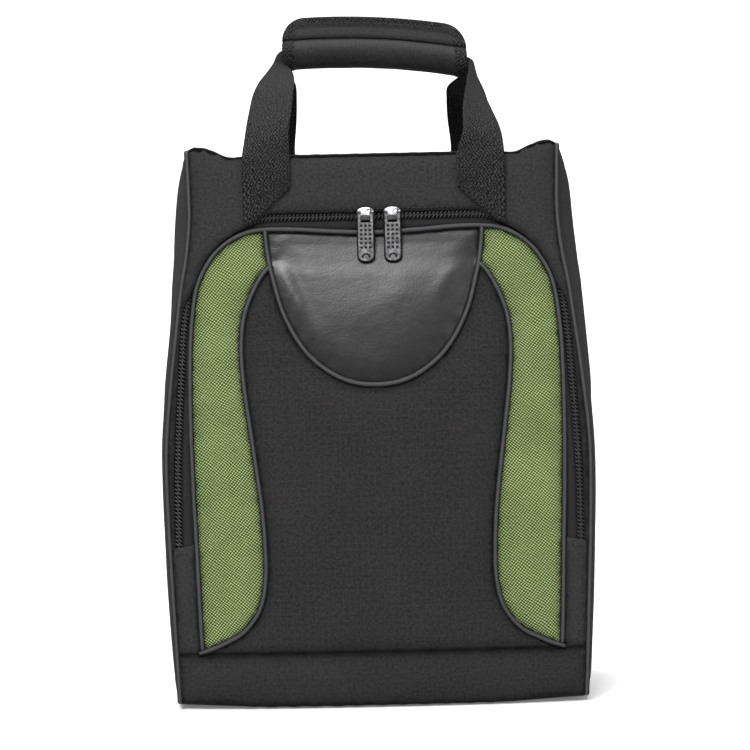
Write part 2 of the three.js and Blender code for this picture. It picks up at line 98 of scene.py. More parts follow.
# Handle
STRAP_THICKNESS = 1.6
FOOT_BOTTOM = 331.5
FOOT_CLEARANCE = 332.2
FOOT_OUT = 3.9
FOOT_HALF = 15.9
GRIP_HALF_LENGTH = 64.2
GRIP_SHIFT = 3.5
GRIP_HEIGHT = 443.4
GRIP_RADIUS = 10.4
GRIP_BORE = 7
GRIP_TOP = 468.5
FIN_BOTTOM = 453.2
GRIP_SAG = 4.2
GRIP_TILT = math.radians(3.4)
BINDING_WIDTH = 8.5
FIN_CORNER = 15

SIDE_LINE = [
    [134.5, 0], [137.5, 60], [140.2, 120], [141, 170], [137.5, 212],
    [133, 250], [129, 280], [125.4, 300], [122.9, 325], [123.2, 350], [124, 373.2],
]
DOOR_LINE = [
    [118.6, 30], [120.4, 70], [121.6, 105], [123, 140], [124.1, 185], [124, 222], [122.8, 250],
    [119, 278], [111.5, 295], [102, 306.5], [90, 314], [77, 317.4], [57, 317.6], [28, 315.6], [0, 314.4],
]
ZIP_LINE = [
    [133.6, 100], [133.6, 150], [132.2, 185], [130.3, 215], [128.2, 245], [126, 264], [122.4, 282],
    [115, 298.2], [104.9, 310.3], [92, 319], [81, 323.6], [70, 325.6], [35, 325.6], [0, 325.6],
]
CENTRE_LINE = [
    [122, 36.6], [112, 40], [105, 43], [91.5, 50.5], [80.5, 65], [76.2, 84], [76, 105], [77.5, 130],
    [80.5, 155], [84.5, 185], [88, 212], [89.5, 236], [88, 256], [83, 272], [76, 285.5], [68.8, 293.8],
]
SHIELD_LINE = [[72.8, 320], [71.2, 303], [67.8, 285], [60, 258.5], [45, 233.5], [23.4, 217.2], [0, 212.5]]
# Start, end, width and height of the soft folds in the leather patch
LEATHER_FOLDS = [
    ([-69, 308], [-46, 256], 4.0, 1.1), ([-60, 306], [-38, 252], 6.0, -0.9),
    ([64, 309], [40, 268], 6.0, 0.9), ([69, 300], [50, 262], 5.0, -0.9),
    ([16, 272], [8, 262], 11.0, 0.6), ([-4, 240], [4, 226], 10.0, -0.5),
]
# How far each side panel swells out at its middle, as pairs of a bulge and a height
BULGES = {
    "left": [
        [6, 0], [7.2, 60], [6.4, 180], [7.3, 215], [8.1, 260],
        [11.3, 300], [12.3, 325], [9.4, 350], [4, 373.2],
    ],
    "right": [
        [6, 0], [7, 60], [6.6, 180], [9, 215], [11.3, 260],
        [13.6, 300], [13.8, 325], [11.2, 350], [4.4, 373.2],
    ],
}
# Outer and inner edge of each strap, from the top seam into the grip, for a strap at the front right
STRAPS = {
    "left_front": [
        ((86.7, -66, 366.6), (54.9, -66, 366.6)), ((84.7, -59, 380), (55.4, -65, 380)),
        ((82.6, -48, 396), (53.9, -57, 395)), ((80.2, -35, 410), (52.6, -46, 409)),
        ((76.2, -23, 421), (51.6, -34, 419)), ((71, -12, 430), (52.8, -22, 427.5)),
        ((66.6, -4, 437.5), (56.6, -13, 433)), ((63.4, -2, 444), (61.8, -6.5, 438.5)),
        ((57, -1.5, 447.5), (56.6, -3.5, 438.6)), ((50, -1.2, 447.8), (50, -2.8, 438.4)),
    ],
    "right_front": [
        ((88.5, -66, 366.6), (56.7, -66, 366.6)), ((86.9, -60, 380), (61, -65, 380)),
        ((82.2, -48, 395), (61.8, -57, 394)), ((78.2, -36, 407), (63.4, -46, 406)),
        ((75.2, -25, 416), (65.2, -35, 415)), ((73.6, -15, 424), (66.9, -25, 423)),
        ((72.8, -7, 430.5), (68.4, -15, 428.5)), ((71.2, -2.5, 437), (69, -7, 431.5)),
        ((64.8, -1.5, 440), (64.4, -4, 431)), ((58, -1.2, 440.2), (58, -2.8, 430.8)),
    ],
    "left_back": [
        ((86.7, -64.9, 369.6), (54.9, -64.9, 369.6)), ((87, -58, 384), (55.5, -60, 384)),
        ((84.5, -44, 403), (53.5, -48, 403)), ((80.5, -33, 417), (52.6, -38, 416)),
        ((74.5, -22, 428), (52.8, -28, 426)), ((68, -11.5, 437), (57.5, -16, 433)),
        ((63.4, -4, 444), (61.8, -7.5, 438.5)), ((57, -1.5, 447.5), (56.6, -3.5, 438.6)),
        ((50, -1.2, 447.8), (50, -2.8, 438.4)),
    ],
    "right_back": [
        ((88.5, -64.9, 369.6), (56.7, -64.9, 369.6)), ((89, -58, 384), (57.6, -60, 384)),
        ((86.5, -44, 403), (55.2, -48, 403)), ((82.5, -33, 416), (54.4, -38, 415)),
        ((77.5, -22, 425.5), (55, -29, 422.5)), ((73.4, -11.5, 431.5), (62.5, -17, 427.5)),
        ((71.2, -4, 437), (69, -8.5, 431.5)), ((64.8, -1.5, 440), (64.4, -4, 431)),
        ((58, -1.2, 440.2), (58, -2.8, 430.8)),
    ],
}


# Lines


def smoothstep(low, high, value):
    share = np.clip((np.asarray(value, float) - low) / (high - low), 0, 1)
    return share * share * (3 - 2 * share)


def resample(line, spacing):
    """The same line with evenly spaced points."""
    steps = np.linalg.norm(np.diff(line, axis=0), axis=1)
    along = np.concatenate([[0], np.cumsum(steps)])
    wanted = np.linspace(0, along[-1], max(int(round(along[-1] / spacing)), 2) + 1)
    return np.column_stack([np.interp(wanted, along, column) for column in line.T])


def spline(points, spacing=LINE_SPACING):
    """Evenly spaced points on the Catmull-Rom curve through the given ones."""
    knots = np.array(points, float)
    knots = np.vstack([knots[:1], knots, knots[-1:]])
    t = np.linspace(0, 1, 40, endpoint=False)[:, None]
    parts = []
    for a, b, c, d in zip(knots, knots[1:], knots[2:], knots[3:]):
        square = (2 * a - 5 * b + 4 * c - d) * t**2
        cube = (3 * b - a - 3 * c + d) * t**3
        parts.append(b + 0.5 * ((c - a) * t + square + cube))
    return resample(np.vstack(parts + [knots[-1:]]), spacing)


def whole(half, spacing=LINE_SPACING):
    """A symmetric line from its right half, from the right end to the left end."""
    left = [[-x, h] for x, h in reversed(half[:-1])]
    return spline(half + left, spacing)


def mirrored(line):
    return line * np.array([-1, 1])


def offset_line(line, distance):
    """A line in a wall's plane, moved sideways to the left of its direction."""
    along = np.gradient(line, axis=0)
    along /= np.linalg.norm(along, axis=1)[:, None]
    return line + distance * np.column_stack([-along[:, 1], along[:, 0]])


def distance_to(points, *lines):
    """How far each point in a wall's plane is from the nearest of some lines."""
    marks = np.vstack([resample(line, 1.2) for line in lines])
    nearest = np.full(len(points), np.inf)
    for start in range(0, len(marks), 200):
        gap = points[:, None, :] - marks[None, start:start + 200, :]
        nearest = np.minimum(nearest, np.sqrt((gap**2).sum(2)).min(1))
    return nearest


def inside(points, outline):
    """Which points lie inside a closed outline."""
    x, y = points[:, 0], points[:, 1]
    within = np.zeros(len(points), bool)
    for (x1, y1), (x2, y2) in zip(outline, np.roll(outline, -1, axis=0)):
        if y1 != y2:
            crosses = (y1 > y) != (y2 > y)
            within ^= crosses & (x < (x2 - x1) * (y - y1) / (y2 - y1) + x1)
    return within


def ripple(points, size, seed=0.0):
    """Smooth noise from -1 to 1 over points, with features about size millimetres apart."""
    flat = np.column_stack([points, np.full(len(points), seed)])[:, :3]
    flat = flat / np.array([*np.broadcast_to(size, 2), 1])
    return np.array([noise.noise(Vector(p)) for p in flat])


side_line = spline(SIDE_LINE)
door_line = whole(DOOR_LINE)
zip_line = whole(ZIP_LINE)
centre_line = spline(CENTRE_LINE + [[66, 297]])
shield_line = whole(SHIELD_LINE)
bulge_lines = {name: spline(line) for name, line in BULGES.items()}


def side_at(h):
    return np.interp(h, side_line[:, 1], side_line[:, 0])


def bulge_at(h, name):
    line = bulge_lines[name]
    return np.interp(h, line[:, 1], line[:, 0])


def top_seam(x):
    """Height of the top seam, which dips beside the straps and rises into the two ears."""
    dip = 1.2 * np.exp(-(((np.abs(x) - 95) / 8) ** 2))
    rounding = 2.4 * smoothstep(119, TOP_HALF, np.abs(x))
    return TOP_SEAM - dip + EAR_RISE * smoothstep(92, 117, np.abs(x)) - rounding


def bottom_edge(x):
    return BOTTOM_EDGE + CORNER_LIFT * smoothstep(70, 136, np.abs(x))


def front_swell(x, h):
    """How far the stuffed front stands forward of its plane."""
    across = np.clip(1 - (np.asarray(x) / 138) ** 2, 0, 1) ** 0.8
    up = 1 - np.exp(-np.clip((SWELL_TOP - np.asarray(h, float)) / 60, 0, None))
    return FRONT_SWELL * across * up


def back_swell(x, h):
    across = np.clip(1 - (np.asarray(x) / 138) ** 2, 0, 1)
    return BACK_SWELL * across * np.sin(np.pi * np.clip(np.asarray(h) / TOP_SEAM, 0, 1)) ** 0.7


def wall_points(x, h, out, facing=1):
    """Points of the front wall in space, or of the back wall where facing is -1."""
    x, h, out = np.broadcast_arrays(*(np.asarray(value, float) for value in (x, h, out)))
    y = -BASE_DEPTH / 2 + h * math.sin(LEAN) - out * math.cos(LEAN)
    return np.stack([facing * x, facing * y, h * math.cos(LEAN) + out * math.sin(LEAN)], axis=-1)


def on_front(line, out):
    """A line in the front wall's plane, lying on the swollen front at its own height above it."""
    x, h = line.T
    return wall_points(x, h, front_swell(x, h) + out)


# Meshes


def make_piece(name, points, faces, face_uvs, finish):
    """A new object from points in millimetres, faces, and each face's corners on the cloth in millimetres."""
    mesh = bpy.data.meshes.new(name)
    mesh.from_pydata((np.asarray(points) * MM).tolist(), [], [list(map(int, face)) for face in faces])
    layer = mesh.uv_layers.new(name=UV_NAME)
    layer.data.foreach_set("uv", np.concatenate([np.asarray(uv, float) for uv in face_uvs]).ravel())
    mesh.shade_smooth()
    mesh.materials.append(finish)
    piece = bpy.data.objects.new(name, mesh)
    bpy.context.scene.collection.objects.link(piece)
    return piece


def grid_piece(name, points, finish, uv=None, around=False, closed=False, flip=False):
    """A surface over rows and columns of points.

    around joins the last column to the first, and closed joins the rows.
    """
    points = np.asarray(points, float)
    rows, columns = points.shape[:2]
    if uv is None:
        uv = cloth_distances(points, around, closed)
    faces, face_uvs = [], []
    for i in range(rows if closed else rows - 1):
        for j in range(columns if around else columns - 1):
            corners = [(i, j), (i, j + 1), (i + 1, j + 1), (i + 1, j)]
            if flip:
                corners.reverse()
            faces.append([(a % rows) * columns + b % columns for a, b in corners])
            face_uvs.append([uv[a, b] for a, b in corners])
    return make_piece(name, points.reshape(-1, 3), faces, face_uvs, finish)


def cloth_distances(points, around, closed):
    """Distances along the columns and rows of a grid, which stand for places on flat cloth."""
    wide = np.concatenate([points, points[:, :1]], axis=1) if around else points
    tall = np.concatenate([wide, wide[:1]], axis=0) if closed else wide
    across = np.linalg.norm(np.diff(tall, axis=1), axis=2).mean(0)
    along = np.linalg.norm(np.diff(tall, axis=0), axis=2).mean(1)
    u, v = np.meshgrid(np.concatenate([[0], np.cumsum(across)]), np.concatenate([[0], np.cumsum(along)]))
    return np.stack([u, v], axis=-1)


def frames_along(line, up=None):
    """A unit direction, and two unit directions square to it, at each point of a line in space."""
    along = np.gradient(line, axis=0)
    along /= np.linalg.norm(along, axis=1)[:, None]
    side = np.cross(along, (0, -1, 0) if up is None else up)
    side /= np.linalg.norm(side, axis=1)[:, None]
    return along, side, np.cross(side, along)


def tube_piece(name, line, radius, finish, sides=10, flatten=1.0, up=None):
    """A round or flattened cord along a line in space, with domed ends."""
    along, side, over = frames_along(line, up)
    steps = np.linalg.norm(np.diff(line, axis=0), axis=1)
    pucker = 1 + 0.03 * np.sin(np.cumsum(np.concatenate([[0], steps])) * 1.9)
    angles = np.linspace(0, 2 * np.pi, sides, endpoint=False)
    rings = []
    for index, centre in enumerate(line):
        ring = np.cos(angles)[:, None] * side[index] + flatten * np.sin(angles)[:, None] * over[index]
        rings.append(centre + radius * pucker[index] * ring)
    first, last = rings[0], rings[-1]
    for share, reach in ((0.7, 0.6), (0.02, 0.9)):
        rings.insert(0, line[0] - reach * radius * along[0] + share * (first - line[0]))
        rings.append(line[-1] + reach * radius * along[-1] + share * (last - line[-1]))
    return grid_piece(name, rings, finish, around=True)


def net(lines, spacing=NET_SPACING):
    """Triangles over the flat area that some lines cover, with every line kept as edges."""
    points = [point for line in lines for point in line]
    edges = []
    start = 0
    for line in lines:
        edges += [(start + k, start + k + 1) for k in range(len(line) - 1)]
        start += len(line)
    corners = np.array(points)
    low, high = corners.min(0), corners.max(0)
    row_height = spacing * math.sqrt(3) / 2
    rows = int((high[1] - low[1]) / row_height)
    inner = []
    for row in range(1, rows):
        shift = spacing * 0.5 * (row % 2)
        xs = np.arange(low[0] + shift, high[0], spacing)
        inner.append(np.column_stack([xs, np.full(len(xs), low[1] + row * row_height)]))
    inner = np.vstack(inner)
    inner = inner[distance_to(inner, *lines) > 0.55 * spacing]
    vertices = [Vector(p) for p in points] + [Vector(p) for p in inner]
    found = geometry.delaunay_2d_cdt(vertices, edges, [], 0, 1e-3)
    flat = np.array([tuple(v) for v in found[0]])
    return flat, np.array([list(face) for face in found[2]])


def cut_piece(name, points, flat, triangles, chosen, finish, gaps=None):
    """The chosen triangles of a net as an object, with painted shade set by each point's distance to its
    seams.
    """
    kept = triangles[chosen]
    used, renumbered = np.unique(kept, return_inverse=True)
    faces = renumbered.reshape(-1, 3)
    piece = make_piece(name, points[used], faces, flat[kept], finish)
    return piece if gaps is None else shade_seams(piece, gaps[used])


def shade_seams(piece, gaps, reach=2.4):
    """Marks painted shade in a seam's groove at each point, deepest at the seam and fading with the distance
    to it.
    """
    mark = piece.data.attributes.new(SEAM_SHADE_NAME, "FLOAT", "POINT")
    mark.data.foreach_set("value", np.exp(-np.asarray(gaps, float).ravel() / reach).astype(np.float32))
    return piece


def thicken(piece, thickness, lining=None):
    """Gives cloth its thickness, inwards, with the lining's material on its inner side."""
    solid = piece.modifiers.new("thickness", "SOLIDIFY")
    solid.thickness = thickness * MM
    solid.offset = -1
    if lining is not None:
        piece.data.materials.append(lining)
        solid.material_offset = 1
    return piece


def smoother(piece, levels=1):
    bend = piece.modifiers.new("smooth", "SUBSURF")
    bend.levels = bend.render_levels = levels
    return piece


def settle(piece, held, pull, slack, cap, frames=18):
    """Lets slack cloth settle under a steady pull while its seams are held, and keeps each move under cap."""
    scene = bpy.context.scene
    mesh = piece.data
    rest = np.array([v.co for v in mesh.vertices])
    seams = piece.vertex_groups.new(name="seams")
    seams.add([int(i) for i in np.flatnonzero(held)], 1.0, "REPLACE")
    cloth = piece.modifiers.new("settling", "CLOTH")
    cloth.settings.vertex_group_mass = "seams"
    cloth.settings.quality = 6
    cloth.settings.mass = 0.2
    cloth.settings.tension_stiffness = 18
    cloth.settings.compression_stiffness = 18
    cloth.settings.shear_stiffness = 8
    cloth.settings.bending_stiffness = 1.2
    cloth.settings.tension_damping = 20
    cloth.settings.air_damping = 6
    cloth.settings.shrink_min = -slack
    cloth.collision_settings.use_self_collision = False
    scene.gravity = pull
    scene.frame_start = 1
    scene.frame_end = frames
    for step in range(1, frames + 1):
        scene.frame_set(step)
    settled = piece.evaluated_get(bpy.context.evaluated_depsgraph_get()).data
    moved = np.array([v.co for v in settled.vertices]) - rest
    piece.modifiers.remove(cloth)
    piece.vertex_groups.remove(seams)
    far = np.linalg.norm(moved, axis=1)[:, None]
    limit = np.broadcast_to(cap, len(rest))[:, None] * MM
    moved *= limit * np.tanh(far / limit) / np.maximum(far, 1e-9)
    mesh.vertices.foreach_set("co", (rest + moved).ravel())
    mesh.update()
    scene.frame_set(1)


def stitch_piece(name, lines, outs, finish, length=2.6, gap=1.3, radius=0.34):
    """Rows of stitches: short sunk threads along lines in space, standing on the given outward directions."""
    points, faces, uvs = [], [], []
    shape = ((-0.5, 0.0, -0.25), (-0.36, 0.8, 0.2), (0.0, 1.0, 0.5), (0.36, 0.8, 0.2), (0.5, 0.0, -0.25))
    for line, out in zip(lines, outs):
        spots = resample(line, length + gap)
        along = np.gradient(spots, axis=0)
        along /= np.linalg.norm(along, axis=1)[:, None]
        over = np.broadcast_to(np.asarray(out, float), spots.shape)
        side = np.cross(along, over)
        side /= np.linalg.norm(side, axis=1)[:, None]
        for spot, a, s, o in zip(spots, along, side, over):
            first = len(points)
            for reach, girth, lift in shape:
                centre = spot + reach * length * a + lift * radius * o
                for turn in range(4):
                    angle = math.pi / 2 * turn + math.pi / 4
                    points.append(centre + girth * radius * (math.cos(angle) * s + math.sin(angle) * o))
            for ring in range(len(shape) - 1):
                for turn in range(4):
                    a0 = first + 4 * ring + turn
                    b0 = first + 4 * ring + (turn + 1) % 4
                    faces.append([a0, b0, b0 + 4, a0 + 4])
                    uvs.append([(turn, ring), (turn + 1, ring), (turn + 1, ring + 1), (turn, ring + 1)])
    return make_piece(name, points, faces, uvs, finish)


# Materials


class Finish:
    """A material built from nodes, with places on the cloth in millimetres."""

    def __init__(self, name, roughness, metallic=0.0, sheen=0.0, gloss=0.5):
        self.material = bpy.data.materials.new(name)
        self.material.use_nodes = True
        self.tree = self.material.node_tree
        self.shader = self.tree.nodes["Principled BSDF"]
        self.shader.inputs["Roughness"].default_value = roughness
        self.shader.inputs["Metallic"].default_value = metallic
        self.shader.inputs["Sheen Weight"].default_value = sheen
        self.shader.inputs["Sheen Roughness"].default_value = 0.5
        self.shader.inputs["Specular IOR Level"].default_value = gloss
        unwrapped = self.node("ShaderNodeUVMap")
        unwrapped.uv_map = UV_NAME
        self.place = unwrapped.outputs["UV"]
        parts = self.node("ShaderNodeSeparateXYZ", Vector=self.place)
        self.u, self.v = parts.outputs["X"], parts.outputs["Y"]

    def node(self, kind, **inputs):
        made = self.tree.nodes.new(kind)
        for key, value in inputs.items():
            self.put(made.inputs[key.replace("_", " ")], value)
        return made

    def put(self, socket, value):
        if isinstance(value, bpy.types.NodeSocket):
            self.tree.links.new(value, socket)
        else:
            socket.default_value = value

    def calc(self, operation, *values):
        made = self.tree.nodes.new("ShaderNodeMath")
        made.operation = operation
        for socket, value in zip(made.inputs, values):
            self.put(socket, value)
        return made.outputs[0]

    def wave(self, place, pitch, shift=0.0):
        """A sine from -1 to 1 with the given pitch in millimetres."""
        turned = self.calc("MULTIPLY_ADD", place, 2 * math.pi / pitch, shift)
        return self.calc("SINE", turned)

    def grain(self, scale, detail=3.0, stretch=(1, 1, 1)):
        """Noise from 0 to 1 with features about 1/scale millimetres wide."""
        mapped = self.node("ShaderNodeMapping", Vector=self.place, Scale=stretch)
        made = self.node("ShaderNodeTexNoise", Vector=mapped.outputs[0], Scale=scale, Detail=detail)
        return made.outputs["Fac"]

    def spread(self, value, low, high, start=0.0, end=1.0):
        made = self.node("ShaderNodeMapRange", Value=value)
        made.inputs["From Min"].default_value = start
        made.inputs["From Max"].default_value = end
        self.put(made.inputs["To Min"], low)
        self.put(made.inputs["To Max"], high)
        return made.outputs[0]

    def blend(self, share, first, second):
        made = self.tree.nodes.new("ShaderNodeMix")
        made.data_type = "RGBA"
        self.put(made.inputs["Factor"], share)
        rgba = [socket for socket in made.inputs if socket.type == "RGBA"]
        for socket, colour in zip(rgba, (first, second)):
            self.put(socket, (*colour, 1.0) if isinstance(colour, tuple) else colour)
        return [socket for socket in made.outputs if socket.type == "RGBA"][0]

    def finish(self, colour, height, depth_mm, roughness=None):
        groove = self.node("ShaderNodeAttribute")
        groove.attribute_name = SEAM_SHADE_NAME
        # Painted shade: the colour darkens towards black near seams and panel edges, following the seam-shade
        # mark.
        colour = self.blend(self.calc("MULTIPLY", groove.outputs["Fac"], 0.92), colour, (0.001, 0.001, 0.001))
        self.tree.links.new(colour, self.shader.inputs["Base Color"])
        bump = self.node("ShaderNodeBump", Height=height)
        bump.inputs["Strength"].default_value = 1.0
        bump.inputs["Distance"].default_value = depth_mm * MM
        self.tree.links.new(bump.outputs["Normal"], self.shader.inputs["Normal"])
        if roughness is not None:
            self.tree.links.new(roughness, self.shader.inputs["Roughness"])
        return self.material


def woven(name, dark, light, pitch, depth, roughness=0.85, sheen=0.02, grid=0.0, grid_gain=0.4, patches=0.25):
    """Plain-woven cloth.

    grid is the spacing of a ripstop's thicker yarns, and patches is how much its tone wanders.
    """
    made = Finish(name, roughness, sheen=sheen, gloss=0.12)
    checks = made.calc("MULTIPLY", made.wave(made.u, pitch[0]), made.wave(made.v, pitch[1]))
    weave = made.calc("MULTIPLY_ADD", checks, 0.5, 0.5)
    slubs = made.grain(0.9, 2.0, (0.35, 2.2, 1))
    height = made.calc("MULTIPLY_ADD", slubs, 0.5, weave)
    tone = made.calc("MULTIPLY_ADD", slubs, 0.6, made.calc("MULTIPLY", weave, 0.55))
    if grid:
        bars = [made.calc("POWER", made.calc("ABSOLUTE", made.wave(axis, 2 * grid)), 24)
                for axis in (made.u, made.v)]
        lines = made.calc("MAXIMUM", *bars)
        tone = made.calc("MULTIPLY_ADD", lines, grid_gain, tone)
        height = made.calc("MULTIPLY_ADD", lines, 1.2, height)
    wander = made.spread(made.grain(0.018, 4.0), -patches, patches)
    flecks = made.spread(made.grain(0.55, 3.0), -0.5, 0.5, 0.25, 0.75)
    tone = made.calc("ADD", made.calc("ADD", tone, flecks), wander)
    colour = made.blend(tone, dark, light)
    return made.finish(colour, height, depth, made.spread(slubs, roughness - 0.08, roughness + 0.08))


def spacer_mesh(name, dark, middle, light):
    """Knitted mesh with diagonal rows of holes."""
    made = Finish(name, 0.7, sheen=0.02, gloss=0.2)
    drift = made.spread(made.grain(0.05, 3.0), -1.6, 1.6)
    across = made.calc("ADD", made.calc("MULTIPLY_ADD", made.v, 0.16, made.u), drift)
    upward = made.calc("ADD", made.calc("MULTIPLY_ADD", made.u, -0.12, made.v), drift)
    holes = made.calc("MULTIPLY", made.wave(across, 2.4), made.wave(upward, 2.2))
    height = made.calc("MULTIPLY_ADD", holes, 0.5, 0.5)
    threads = made.grain(1.6, 2.0, (2.0, 0.5, 1))
    level = made.calc("ADD", height, made.spread(threads, -0.28, 0.28))
    level = made.calc("ADD", level, made.spread(made.grain(0.03, 3.0), -0.12, 0.12))
    ramp = made.node("ShaderNodeValToRGB", Fac=level)
    ramp.color_ramp.elements[0].position = 0.12
    ramp.color_ramp.elements[0].color = (*dark, 1)
    ramp.color_ramp.elements[1].position = 0.95
    ramp.color_ramp.elements[1].color = (*light, 1)
    between = ramp.color_ramp.elements.new(0.5)
    between.color = (*middle, 1)
    return made.finish(ramp.outputs["Color"], height, 0.35)


def grained_leather(name, dark, light):
    """Smooth synthetic leather with a fine pebble grain."""
    made = Finish(name, 0.36, gloss=0.9)
    pebbles = made.node("ShaderNodeTexVoronoi", Vector=made.place, Scale=1.1)
    pebbles.feature = "SMOOTH_F1"
    creases = made.grain(0.12, 4.0, (1, 1.4, 1))
    height = made.calc("MULTIPLY_ADD", creases, 1.1, made.calc("MULTIPLY", pebbles.outputs["Distance"], 0.35))
    tone = made.calc("MULTIPLY_ADD", made.grain(0.03, 4.0), 0.7,
                     made.calc("MULTIPLY", pebbles.outputs["Distance"], 0.3))
    return made.finish(made.blend(tone, dark, light), height, 0.16, made.spread(creases, 0.36, 0.52))


def webbing(name, dark, light, pitch=(2.1, 1.7)):
    """Coarse woven strap: staggered short floats of thick yarn, with scuffed high points."""
    made = Finish(name, 0.8, sheen=0.02, gloss=0.12)
    drift = made.spread(made.grain(0.22, 3.0), -1.8, 1.8)
    along = made.calc("ADD", made.v, drift)
    row = made.wave(along, pitch[1])
    stagger = made.calc("MULTIPLY", made.calc("SIGN", made.wave(along, 2 * pitch[1])), 1.3)
    across = made.calc("MULTIPLY_ADD", drift, -1.4, made.u)
    float_turn = made.calc("MULTIPLY_ADD", across, 2 * math.pi / pitch[0], stagger)
    floats = made.calc("SINE", float_turn)
    yarn = made.calc("MULTIPLY", made.calc("ABSOLUTE", row), made.calc("MULTIPLY_ADD", floats, 0.5, 0.5))
    speck = made.grain(0.8, 3.0, (1, 1.2, 1))
    height = made.calc("MULTIPLY_ADD", speck, 0.5, yarn)
    tone = made.calc("MULTIPLY", made.calc("POWER", yarn, 1.4), made.spread(speck, 0.0, 2.6, 0.36, 0.68))
    return made.finish(made.blend(tone, dark, light), height, 0.5)


def piping_cover(name, dark, light):
    """Satin-coated cloth drawn tight over a cord, with random rubs, a painted highlight along its crown and
    painted shade down its sides.
    """
    made = Finish(name, 0.45, gloss=0.3)
    crown = made.wave(made.u, 6.18 * PIPING_RADIUS)
    ribs = made.calc("MULTIPLY_ADD", made.wave(made.v, 0.7), 0.5, 0.5)
    rubs = made.grain(0.25, 4.0, (1, 0.3, 1))
    height = made.calc("MULTIPLY_ADD", rubs, 0.6, ribs)
    # Tone: random rubs plus a painted highlight on the crown that fades to painted shade down the sides.
    tone = made.calc("MULTIPLY_ADD", rubs, 0.5, made.spread(crown, 0.0, 0.85, 0.72, 1.0))
    return made.finish(made.blend(tone, dark, light), height, 0.05, made.spread(rubs, 0.4, 0.62))


def zip_cloth(name, dark, light):
    """Close herringbone tape."""
    made = Finish(name, 0.85, sheen=0.02, gloss=0.12)
    zigzag = made.calc("ABSOLUTE", made.wave(made.u, 6.0))
    slant = made.calc("MULTIPLY_ADD", zigzag, 1.5, made.v)
    ribs = made.calc("MULTIPLY_ADD", made.wave(slant, 1.1), 0.5, 0.5)
    lint = made.grain(0.7, 3.0)
    tone = made.calc("MULTIPLY_ADD", ribs, 0.5, made.calc("MULTIPLY", lint, 0.5))
    return made.finish(made.blend(tone, dark, light), made.calc("ADD", ribs, lint), 0.12)


def moulded(name, dark, light, roughness, depth=0.04):
    """Moulded nylon or board with a fine random texture."""
    made = Finish(name, roughness, gloss=0.4)
    fine = made.grain(1.5, 4.0)
    tone = made.spread(made.grain(0.08, 3.0), 0.0, 1.0, 0.3, 0.7)
    return made.finish(made.blend(tone, dark, light), fine, depth,
                       made.spread(fine, roughness - 0.1, roughness + 0.1))


def plated_metal(name, low, high):
    """Plated zinc with painted shade by depth: dark up to one height above the wall, and bright from another
    height on.
    """
    made = Finish(name, 0.3, metallic=1.0)
    position = made.node("ShaderNodeTexCoord").outputs["Object"]
    parts = made.node("ShaderNodeSeparateXYZ", Vector=position)
    rise = made.calc("MULTIPLY", parts.outputs["Z"], math.sin(LEAN))
    out = made.calc("SUBTRACT", rise, made.calc("MULTIPLY_ADD", parts.outputs["Y"], math.cos(LEAN),
                                                 BASE_DEPTH / 2 * MM * math.cos(LEAN)))
    # Painted shade: parts nearer the wall are darker, standing in for shade in the recesses.
    lit_by_depth = made.spread(out, 0.0, 1.0, low * MM, high * MM)
    cloud = made.node("ShaderNodeTexNoise", Vector=position, Scale=420.0, Detail=4.0).outputs["Fac"]
    fine = made.node("ShaderNodeTexNoise", Vector=position, Scale=1900.0, Detail=2.0).outputs["Fac"]
    bright = made.blend(made.spread(cloud, 0.0, 1.0, 0.35, 0.65), (0.36, 0.36, 0.37), (0.62, 0.62, 0.64))
    colour = made.blend(lit_by_depth, (0.03, 0.03, 0.033), bright)
    return made.finish(colour, fine, 0.02, made.spread(cloud, 0.26, 0.4, 0.3, 0.7))


def hook_cloth(name, dark, light):
    """Hook or loop tape: a dense field of short tufts."""
    made = Finish(name, 0.9, sheen=0.05, gloss=0.1)
    position = made.node("ShaderNodeTexCoord").outputs["Object"]
    tufts = made.node("ShaderNodeTexVoronoi", Vector=position, Scale=1100.0).outputs["Distance"]
    return made.finish(made.blend(tufts, light, dark), made.calc("SUBTRACT", 1.0, tufts), 0.4)


shell = woven("shell_fabric", (0.014, 0.014, 0.0145), (0.036, 0.036, 0.0365), (0.62, 0.55), 0.1, patches=0.16)
ripstop = woven("ripstop", (0.009, 0.0085, 0.009), (0.027, 0.0255, 0.026), (0.6, 0.5), 0.08, 0.8, grid=4.6,
                grid_gain=0.16)
band_cloth = woven("band_fabric", (0.010, 0.010, 0.010), (0.028, 0.028, 0.028), (0.8, 0.75), 0.12, grid=3.1,
                   grid_gain=0.12)
lining = woven("lining", (0.009, 0.009, 0.0095), (0.024, 0.024, 0.025), (0.4, 0.4), 0.05, 0.6, 0.05, grid=2.4)
grip_cloth = woven("grip_fabric", (0.010, 0.010, 0.0105), (0.026, 0.026, 0.027), (0.9, 0.8), 0.1, 0.6, 0.08)
thread = moulded("thread", (0.012, 0.012, 0.013), (0.03, 0.03, 0.032), 0.6)
green = spacer_mesh("green_mesh", (0.008, 0.018, 0.002), (0.080, 0.118, 0.030), (0.38, 0.46, 0.20))
leather = grained_leather("leather", (0.005, 0.0045, 0.005), (0.011, 0.0105, 0.0108))
strap_cloth = webbing("webbing", (0.004, 0.004, 0.004), (0.064, 0.064, 0.0655), (2.3, 1.5))
# Piping: the dark colour is the painted shade of its sides, the light one mostly its painted crown highlight.
piping_cloth = piping_cover("piping", (0.0025, 0.0025, 0.0025), (0.046, 0.046, 0.050))
tape = zip_cloth("zip_tape", (0.008, 0.008, 0.0085), (0.030, 0.030, 0.031))
coil = moulded("zip_coil", (0.020, 0.020, 0.0205), (0.070, 0.070, 0.072), 0.35)
